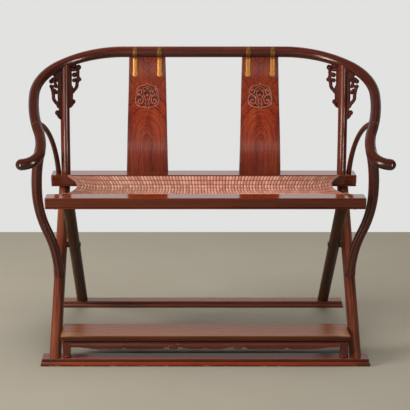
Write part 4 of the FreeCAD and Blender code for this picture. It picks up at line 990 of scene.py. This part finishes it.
def make_splats():
    """A splat: at each place along its S a flat section with rounded edges, narrower upwards.

    The carving stands out of the front face over the medallion's rows.
    """
    centre, reach, round_edge = 0.262, 0.05, 0.003
    carved = np.linspace(centre - reach, centre + reach, 150)
    below = np.linspace(0.0, carved[0] - 0.004, 34)
    above = np.linspace(carved[-1] + 0.004, SPLAT.length - 0.008, 20)
    distance = np.r_[below, carved, above]
    spine, heading = SPLAT.at(distance)
    back = np.cross(SPLAT.normal, heading)
    share = (spine[:, 2:] - SEAT_TOP) / (CREST_BACK[2] - SEAT_TOP)
    flat = SPLAT_HALF_FOOT + (SPLAT_HALF_HEAD - SPLAT_HALF_FOOT) * share - round_edge
    turn = np.radians(np.linspace(-90.0, 90.0, 11)[1:-1])
    face, rear = np.linspace(-1.0, 1.0, 191), np.linspace(1.0, -1.0, 24)
    edge, thick = round_edge * np.cos(turn) ** 0.7, SPLAT_HALF_THICK * np.sin(turn)
    across = np.hstack([flat * face, flat + edge, flat * rear, -flat - edge[::-1]])
    front, behind = np.full(len(face), -SPLAT_HALF_THICK), np.full(len(rear), SPLAT_HALF_THICK)
    section = np.r_[front, thick, behind, thick[::-1]]
    depth = np.broadcast_to(section, across.shape).copy()
    wear = np.zeros(across.shape)
    worked = slice(len(below), len(below) + len(carved)), slice(0, len(face))
    relief, wear[worked] = medallion_relief(across[worked], (carved - centre)[:, None])
    depth[worked] -= relief
    points = spine[:, None] + back[:, None] * depth[..., None]
    points[..., 0] += SPLAT_X + across
    skin = Skin().rings(points, stacked(across, depth, distance[:, None]), wear)
    slot = "figured_rosewood"
    dress_pair("back_splat_carved", skin, SPLAT_WOOD, "back_frame", ["back_splat"], slot, 40.0)


def strap_line():
    """A strap's side profile in (y, z): an arc over the crest rail's front, then down the splat."""
    reach, gap = CREST_RADIUS + 0.001, SPLAT_HALF_THICK + 0.0004
    last = math.acos(gap / reach)
    angle = np.radians(np.linspace(62.0, -math.degrees(last), 30))
    over = stacked(CREST_BACK[1] - reach * np.cos(angle), CREST_BACK[2] + reach * np.sin(angle))
    start = SPLAT.length - reach * math.sin(last) - 0.0015
    distance = np.linspace(start, SPLAT.length - CREST_RADIUS - STRAP_DROP + 0.0022, 48)
    spine, heading = SPLAT.at(distance)
    down = (spine - np.cross(SPLAT.normal, heading) * gap)[:, 1:]
    line = np.r_[over, down]
    line[1:-1] = (line[:-2] + 2.0 * line[1:-1] + line[2:]) / 4.0
    return line


# A strap's half width in millimetres, at distances from its pointed end and from its top
STRAP_TIP = ((0, 0.4), (1, 3.2), (3, 6.8), (6, 9.2), (10, 10), (14, 9.4), (18, 8), (23, 7.6))
STRAP_TOP = ((0, 0.4), (1, 3.2), (3, 6), (6, STRAP_HALF / MM), (200, 30))


def make_straps():
    """A brass strap: a low dome with a scored border, carried down its profile.

    Its half width follows a drawn outline: a rounded top, a plain band and a flared, pointed end.
    """
    line = strap_line()
    along = run_along(line)
    tip, top = (
        np.interp(distance / MM, *np.array(outline).T) * MM
        for distance, outline in ((along[-1] - along, STRAP_TIP), (along, STRAP_TOP))
    )
    tangent = np.gradient(line, along, axis=0)
    outward = stacked(-tangent[:, 1], tangent[:, 0])
    outward *= -np.sign(outward[:, :1] + 1e-12) / np.linalg.norm(outward, axis=1, keepdims=True)
    face = np.linspace(-1.0, 1.0, 21)
    lift = 0.0011 + 0.0005 * (1.0 - face ** 2) - 0.0003 * bell(np.abs(face) - 0.74, 0.06)
    lift[[0, -1]] = 0.0006
    # The border's value darkens the brass: patina in the scored groove, painted shade at the edges.
    border = smooth((np.abs(face) - 0.72) / 0.24)
    across = np.minimum(tip, top)[:, None] * np.r_[face, face[::-1]]
    proud = np.r_[lift, np.zeros(len(face))]
    y, z = (line[:, k, None] + outward[:, k, None] * proud for k in (0, 1))
    skin = Skin()
    for offset in (-STRAP_OFFSET, STRAP_OFFSET):
        points = stacked(SPLAT_X + offset + across, y, z)
        skin.rings(points, points, np.r_[border, border])
    straps = ["inner_strap", "outer_strap"]
    dress_pair("brass_straps", skin, STRAP_BRASS, "back_frame", straps, "brass", 45.0)
    make_strap_nails(line, along, outward)


def dome(centre, axis, radius, height):
    """A round nail head: rings of radius times cosine, lifted by height times sine."""
    side = unit(np.cross(axis, (1.0, 0.0, 0.31)))
    other = np.cross(axis, side)
    rise = np.radians([-25.0, 0.0, 14.0, 28.0, 42.0, 56.0, 70.0, 82.0, 89.0])[:, None, None]
    theta = ring_angles(18)[None, :, None]
    ring = side * np.cos(theta) + other * np.sin(theta)
    return centre + radius * np.cos(rise) * ring + axis * height * np.sin(rise)


def make_strap_nails(line, along, outward):
    """Three domed nail heads down each strap."""
    skin = Skin()
    for place, radius in ((0.016, 0.0036), (0.047, 0.0022), (along[-1] - 0.0105, 0.003)):
        row = int(np.argmin(np.abs(along - place)))
        axis = np.array((0.0, *outward[row]))
        for x in (SPLAT_X, -SPLAT_X):
            for offset in (-STRAP_OFFSET, STRAP_OFFSET):
                centre = np.array((x + offset, *line[row])) + axis * 0.0014
                points = dome(centre, axis, radius, 0.6 * radius)
                skin.rings(points, points)
    dress("strap_nails_domed", skin, STRAP_BRASS, "back_frame", ["strap_nails"], "brass")


# The lines of a scroll bracket in millimetres, out from the post and down from the rail: the points
# that each passes through, its half width at its start and at its end
BRACKET_LINES = {
    "inner": (
        ([(0, 2), (10, 5), (20, 8), (27, 12)], 9.0, 7.5),
        ([(2, 12), (10, 18), (20, 20), (28, 17)], 9.0, 6.5),
        ([(0, -2), (1, 20), (1.5, 45), (2, 68), (3.5, 90), (3, 108), (1.5, 130), (-1, 152)],
         8.8, 3.2),
        ([(5, 74), (9, 90), (8, 105), (7.5, 122), (4, 139)], 7.0, 5.5),
        ([(30, 17), (32, 28), (31, 38), (33, 48), (33, 56), (29, 66), (28, 77), (22, 87), (12, 95)],
         6.4, 6.2),
        ([(31, 36), (25, 36), (19, 39)], 6.0, 6.4),
        ([(32, 55), (25, 55), (18, 57)], 5.6, 6.0),
        ([(16, 88), (17, 95), (16, 101)], 4.6, 3.0),
        ([(14, 134), (9, 142), (2, 151)], 5.2, 3.4),
    ),
    "outer": (
        ([(1, -30), (3, 0), (3, 30)], 9.0, 7.0),
        ([(8, -20), (8, 6), (6, 34)], 8.0, 4.5),
        ([(15, -12), (14, 4), (9, 24)], 7.5, 4.0),
        ([(22, -5), (18, 6), (11, 20)], 6.5, 4.0),
        ([(27, 1), (19, 17), (12, 31)], 5.5, 4.5),
        ([(2, 16), (3.5, 45), (4, 70), (5, 94), (4.5, 114), (2, 136), (-1, 158)], 8.8, 3.4),
        ([(35, 28), (29, 21), (22.5, 31), (18, 45)], 5.6, 5.6),
        ([(33, 48), (25, 45), (18, 47)], 5.0, 5.0),
        ([(35, 46), (31, 59), (28, 74), (27, 88), (21.5, 97), (13, 106), (7, 119)], 6.2, 6.6),
        ([(30, 59), (23, 58), (17, 65)], 4.8, 5.0),
        ([(13, 139), (8, 148), (1, 157)], 5.4, 3.4),
    ),
}
# Its round knobs: out, down and radius
BRACKET_KNOBS = {
    "inner": ((35, 13, 9.2), (37.5, 54, 7.2), (19, 39, 8.6), (18, 57.5, 7.2), (14.5, 130, 8.4)),
    "outer": ((35.5, 29, 8.2), (36, 46, 6.6), (17.5, 66, 7.0), (17.5, 46, 6.4), (13.5, 135, 9.0)),
}


def make_brackets():
    """A pierced scroll bracket: oval bars carried along its lines, rounded off at their ends.

    A knob is one short line, as long as it is wide.
    """
    top = crest_point(POST_ON_CREST)
    down = unit(POST.at(np.array([POST.length - BRACKET_LENGTH]))[0][0] - top)
    theta = ring_angles(14)
    half_thick = 4.7
    for name, step, drop in (("inner", -0.033, 0.0), ("outer", 0.033, 0.033)):
        chord = crest_point(POST_ON_CREST + step) - top
        away = unit(chord - down * (chord @ down))
        through = np.cross(away, down)
        edge = top + away * POST_RADIUS + down * drop
        strokes = list(BRACKET_LINES[name])
        for x, y, radius in BRACKET_KNOBS[name]:
            strokes.append(([(x - radius, y), (x, y), (x + radius, y)], radius, radius))
        skin = Skin()
        for controls, start, end in strokes:
            flat = smooth_curve(controls, 64, 1.0)
            tangent, along = directions(flat), run_along(flat)
            beside = stacked(-tangent[:, 1], tangent[:, 0])
            full = start + (end - start) * smooth(along / along[-1] * 1.4 - 0.4)
            from_end = np.minimum(along, along[-1] - along)
            near = np.clip(from_end / np.minimum(full, along[-1] / 2.0), 0.0, 1.0)
            taper = np.sqrt(1.0 - (0.995 - 0.995 * near) ** 2)
            width = (full * taper)[:, None] * np.cos(theta)
            lift = (half_thick * taper)[:, None] * np.sin(theta)
            plane = flat[:, None] + beside[:, None] * width[..., None]
            drawn = plane[..., :1] * away + plane[..., 1:] * down + lift[..., None] * through
            points = edge + drawn * MM
            skin.rings(points, points)
        node = [name + "_bracket"]
        dress_pair(node[0] + "_scrolls", skin, WOOD["carved"], "back_frame", node, crease=60.0)


def web_share(y):
    return (y - WEB_FRONT) / (WEB_REAR - WEB_FRONT)


def web_waist(y):
    """How far the web's ends are drawn in: a parabola from rail to rail."""
    return 1.0 - np.clip(2.0 * web_share(y) - 1.0, -1.0, 1.0) ** 2


def web_half(y):
    """Half the web's width: drawn in between the rails, and wider at the rear than at the front."""
    return WEB_HALF - 0.01 - WEB_WAIST * web_waist(y) + 0.018 * web_share(y)


def web_weave(cords, picks):
    """Height and tone of the weave: rows of half-round floats over each cord.

    A float's height is the half circle across it times the half circle along it. Its tone is the
    broken part of large sines of its numbers, so it differs from float to float.
    """
    cord, row = np.floor(cords), np.floor(picks)
    across, along = 2.0 * (cords % 1.0) - 1.0, 2.0 * (picks % 1.0) - 1.0
    tone = (np.sin(cord * 12.9898 + row * 78.233) * 43758.5453) % 1.0
    tone = 0.75 * tone + 0.25 * ((np.sin(cord * 39.425) * 24634.6345) % 1.0)
    return half_round(across) * half_round(along) ** 0.8, tone


def rope(points, radius, twist):
    """A twisted cord along points: its radius swells twice round, and the swell turns on its way.

    The value that goes with it is low between the swells, where it paints shade.
    """
    tangent = directions(points)
    side = np.cross(tangent, UP)
    side /= np.linalg.norm(side, axis=1, keepdims=True)
    above = np.cross(side, tangent)
    theta = ring_angles(14)
    swell = 0.16
    turned = 2.0 * theta - 2.0 * np.pi * run_along(points)[:, None] / twist
    size = (radius[:, None] * (1.0 + swell * np.cos(turned)))[..., None]
    round_x, round_y = np.cos(theta)[:, None], np.sin(theta)[:, None]
    ring = points[:, None] + side[:, None] * (size * round_x) + above[:, None] * (size * round_y)
    risen = (size[..., 0] / radius[:, None] - 1.0 + swell) / (2.0 * swell)
    return ring, 0.35 + 0.65 * np.clip(risen, 0.0, 1.0)


def make_web():
    """The woven seat: a sheet with drawn-in, bound ends, which sags between the rails.

    The height is the sag's parabola, flatter at the two ends, plus the weave.
    """
    tucked, first_row, float_height, thick, shaded = 0.0022, 20.0, 0.0046, 0.005, 0.35
    y = np.linspace(WEB_FRONT - tucked, WEB_REAR + tucked, 140)[:, None]
    face, under = np.linspace(-1.0, 1.0, 560), np.linspace(1.0, -1.0, 40)
    around = np.r_[face, under]
    on_top = np.arange(len(around)) < len(face)
    x = web_half(y) * around
    taut = 1.0 - 0.75 * smooth((np.abs(around) - 0.84) / 0.16)
    level = WEB_EDGE_HEIGHT + 0.004 - WEB_SAG * web_waist(y) * taut
    cords, picks = (face + 1.0) / 2.0 * WEB_CORDS, web_share(y) * WEB_ROWS + first_row
    weave, tone = np.zeros(x.shape), np.zeros(x.shape)
    weave[:, on_top], tone[:, on_top] = web_weave(*np.broadcast_arrays(cords, picks))
    z = level + np.where(on_top, weave * float_height, -thick)
    # The weave's height goes with the points as painted shade: dark between the floats, and dark
    # all under the web.
    wear = np.where(on_top, weave, shaded)
    skin = Skin().rings(stacked(x, y, z), stacked(x, y, tone), wear)
    edge_y = WEB_REAR + 0.001 - np.linspace(0.0, 1.0, 13) * (WEB_REAR - WEB_FRONT)
    edge_z = WEB_EDGE_HEIGHT + 0.0055 - 0.25 * WEB_SAG * web_waist(edge_y)
    tie = [(0.455, -0.1455, 0.5236), (0.461, -0.154, 0.5226)]
    edge = np.r_[stacked(web_half(edge_y), edge_y, edge_z), tie]
    for sign in (-1.0, 1.0):
        line = smooth_curve(edge * (sign, 1.0, 1.0), 220)
        radius = 0.0042 - 0.0018 * smooth((-0.14 - line[:, 1]) / 0.03)
        ring, swell = rope(line, radius, 0.011)
        skin.rings(ring, ring, swell)
    web = dress("seat_web_woven", skin, CORD, None, ["seat_web"], "web", crease=60.0)
    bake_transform(web)


def finish_small_nodes():
    """The small solids that stay as they are get their wood or brass."""
    for name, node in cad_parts.items():
        if name.startswith(("pivot_", "footrest_pin_", "cord_peg_", "crest_lock_pegs")):
            node.data.materials.clear()
            node.data.materials.append(PIVOT_BRASS if name.startswith("pivot_") else PEG_WOOD)


def make_stage():
    """A pale floor that ends where the photograph's wall begins, and a pale surrounding."""
    mesh = bpy.data.meshes.new("floor")
    side, front, wall = 5.0, -6.5, 1.308
    corners = [(-side, front, 0.0), (side, front, 0.0), (side, wall, 0.0), (-side, wall, 0.0)]
    mesh.from_pydata(corners, [], [(0, 1, 2, 3)])
    floor = bpy.data.objects.new("floor", mesh)
    bpy.context.scene.collection.objects.link(floor)
    ground = Finish(bpy.data.materials.new("pale floor"))
    cloud = ground.noise(ground.place(), (3.0, 3.0, 3.0), 3.0)
    pale = ground.mix(cloud, (0.285, 0.26, 0.21), (0.318, 0.29, 0.238))
    mesh.materials.append(ground.close(pale, 0.8 + cloud * 0.1, Specular_IOR_Level=0.0))
    sky = Finish(bpy.data.worlds.new("studio"))
    bpy.context.scene.world = sky.owner
    rays = ("Is Camera Ray", "Is Glossy Ray", "Is Transmission Ray")
    camera, glossy, through = (sky.node("ShaderNodeLightPath", {}, {}, ray) for ray in rays)
    _, across, height = sky.split(sky.place("Generated"))
    behind, above = sky.ramp(across, 0.4, 0.85), sky.ramp(height, -0.03, 0.1)
    mirrored = sky.ramp(glossy + through, 0.0, 1.0)
    unseen = mirrored * (0.03 + behind * (0.1 + above * 0.6)) + (1.0 - mirrored) * 0.17
    strength = camera * 0.76 + (1.0 - camera) * unseen
    inputs = {"Color": (1.0, 1.0, 0.985, 1.0), "Strength": strength}
    sky.node("ShaderNodeOutputWorld", {}, {"Surface": sky.node("ShaderNodeBackground", {}, inputs)})


def lamp(name, place, target, size, watts, colour=(1.0, 1.0, 1.0), gloss=False):
    """A rectangular lamp turned to a target: a soft light, or one that only polish mirrors."""
    data = bpy.data.lights.new(name, "AREA")
    data.shape, data.size, data.size_y, data.energy, data.color = "RECTANGLE", *size, watts, colour
    made = bpy.data.objects.new(name, data)
    back = unit(np.asarray(place, float) - np.asarray(target, float))
    made.location = place
    made.rotation_euler = (math.acos(back[2]), 0.0, math.atan2(back[0], -back[1]))
    made.visible_camera, made.visible_glossy, made.visible_diffuse = False, gloss, not gloss
    bpy.context.scene.collection.objects.link(made)


def make_lights_and_camera():
    """The lamps, and a camera fitted to the photograph, its lens in pixels of the photograph."""
    warm = (1.0, 0.86, 0.74)
    lamp("window_left", (-3.8, -1.2, 2.1), (0.0, 0.0, 0.45), (1.6, 1.6), 175.0, (1.0, 0.98, 0.95))
    lamp("softbox_above", (0.2, 0.2, 3.6), (0.0, 0.0, 0.3), (2.8, 2.8), 118.0, (1.0, 0.98, 0.94))
    lamp("fill_front", (-0.7, -4.4, 2.2), (0.0, 0.0, 0.5), (0.9, 0.9), 20.0)
    lamp("strip_left", (-1.9, -3.9, 1.5), (0.0, 0.0, 0.6), (1.0, 1.8), 44.0, warm, gloss=True)
    lamp("strip_right", (2.5, -3.2, 1.4), (0.0, 0.0, 0.6), (0.6, 1.6), 24.0, warm, gloss=True)
    lamp("band_front", (0.08, -4.6, 1.16), (0.0, 0.1, 0.62), (1.4, 0.55), 4.5, gloss=True)
    lamp("low_left", (-1.35, -2.1, 0.5), (-0.4, 0.1, 0.6), (0.55, 0.9), 30.0, warm, gloss=True)
    lamp("low_right", (1.55, -1.9, 0.5), (0.4, 0.1, 0.6), (0.45, 0.9), 20.0, warm, gloss=True)
    data = bpy.data.cameras.new("photo_camera")
    sensor, lens_pixels, photo_pixels, tilt = 36.0, 1289.81, 410.0, 14.05
    data.sensor_width, data.lens, data.shift_x = sensor, lens_pixels / photo_pixels * sensor, 0.0547
    camera = bpy.data.objects.new("photo_camera", data)
    camera.location = (-0.0728, -4.1762, 1.4952)
    camera.rotation_euler = (math.radians(90.0 - tilt), 0.0, 0.0)
    bpy.context.scene.collection.objects.link(camera)
    bpy.context.scene.camera = camera
    bpy.context.scene.view_settings.view_transform = "Standard"


make_lights_and_camera()
make_stage()
make_crest()
make_back_posts()
make_arm_posts()
make_side_braces()
make_legs()
make_rails()
make_footrest()
make_splats()
make_straps()
make_brackets()
make_web()
finish_small_nodes()
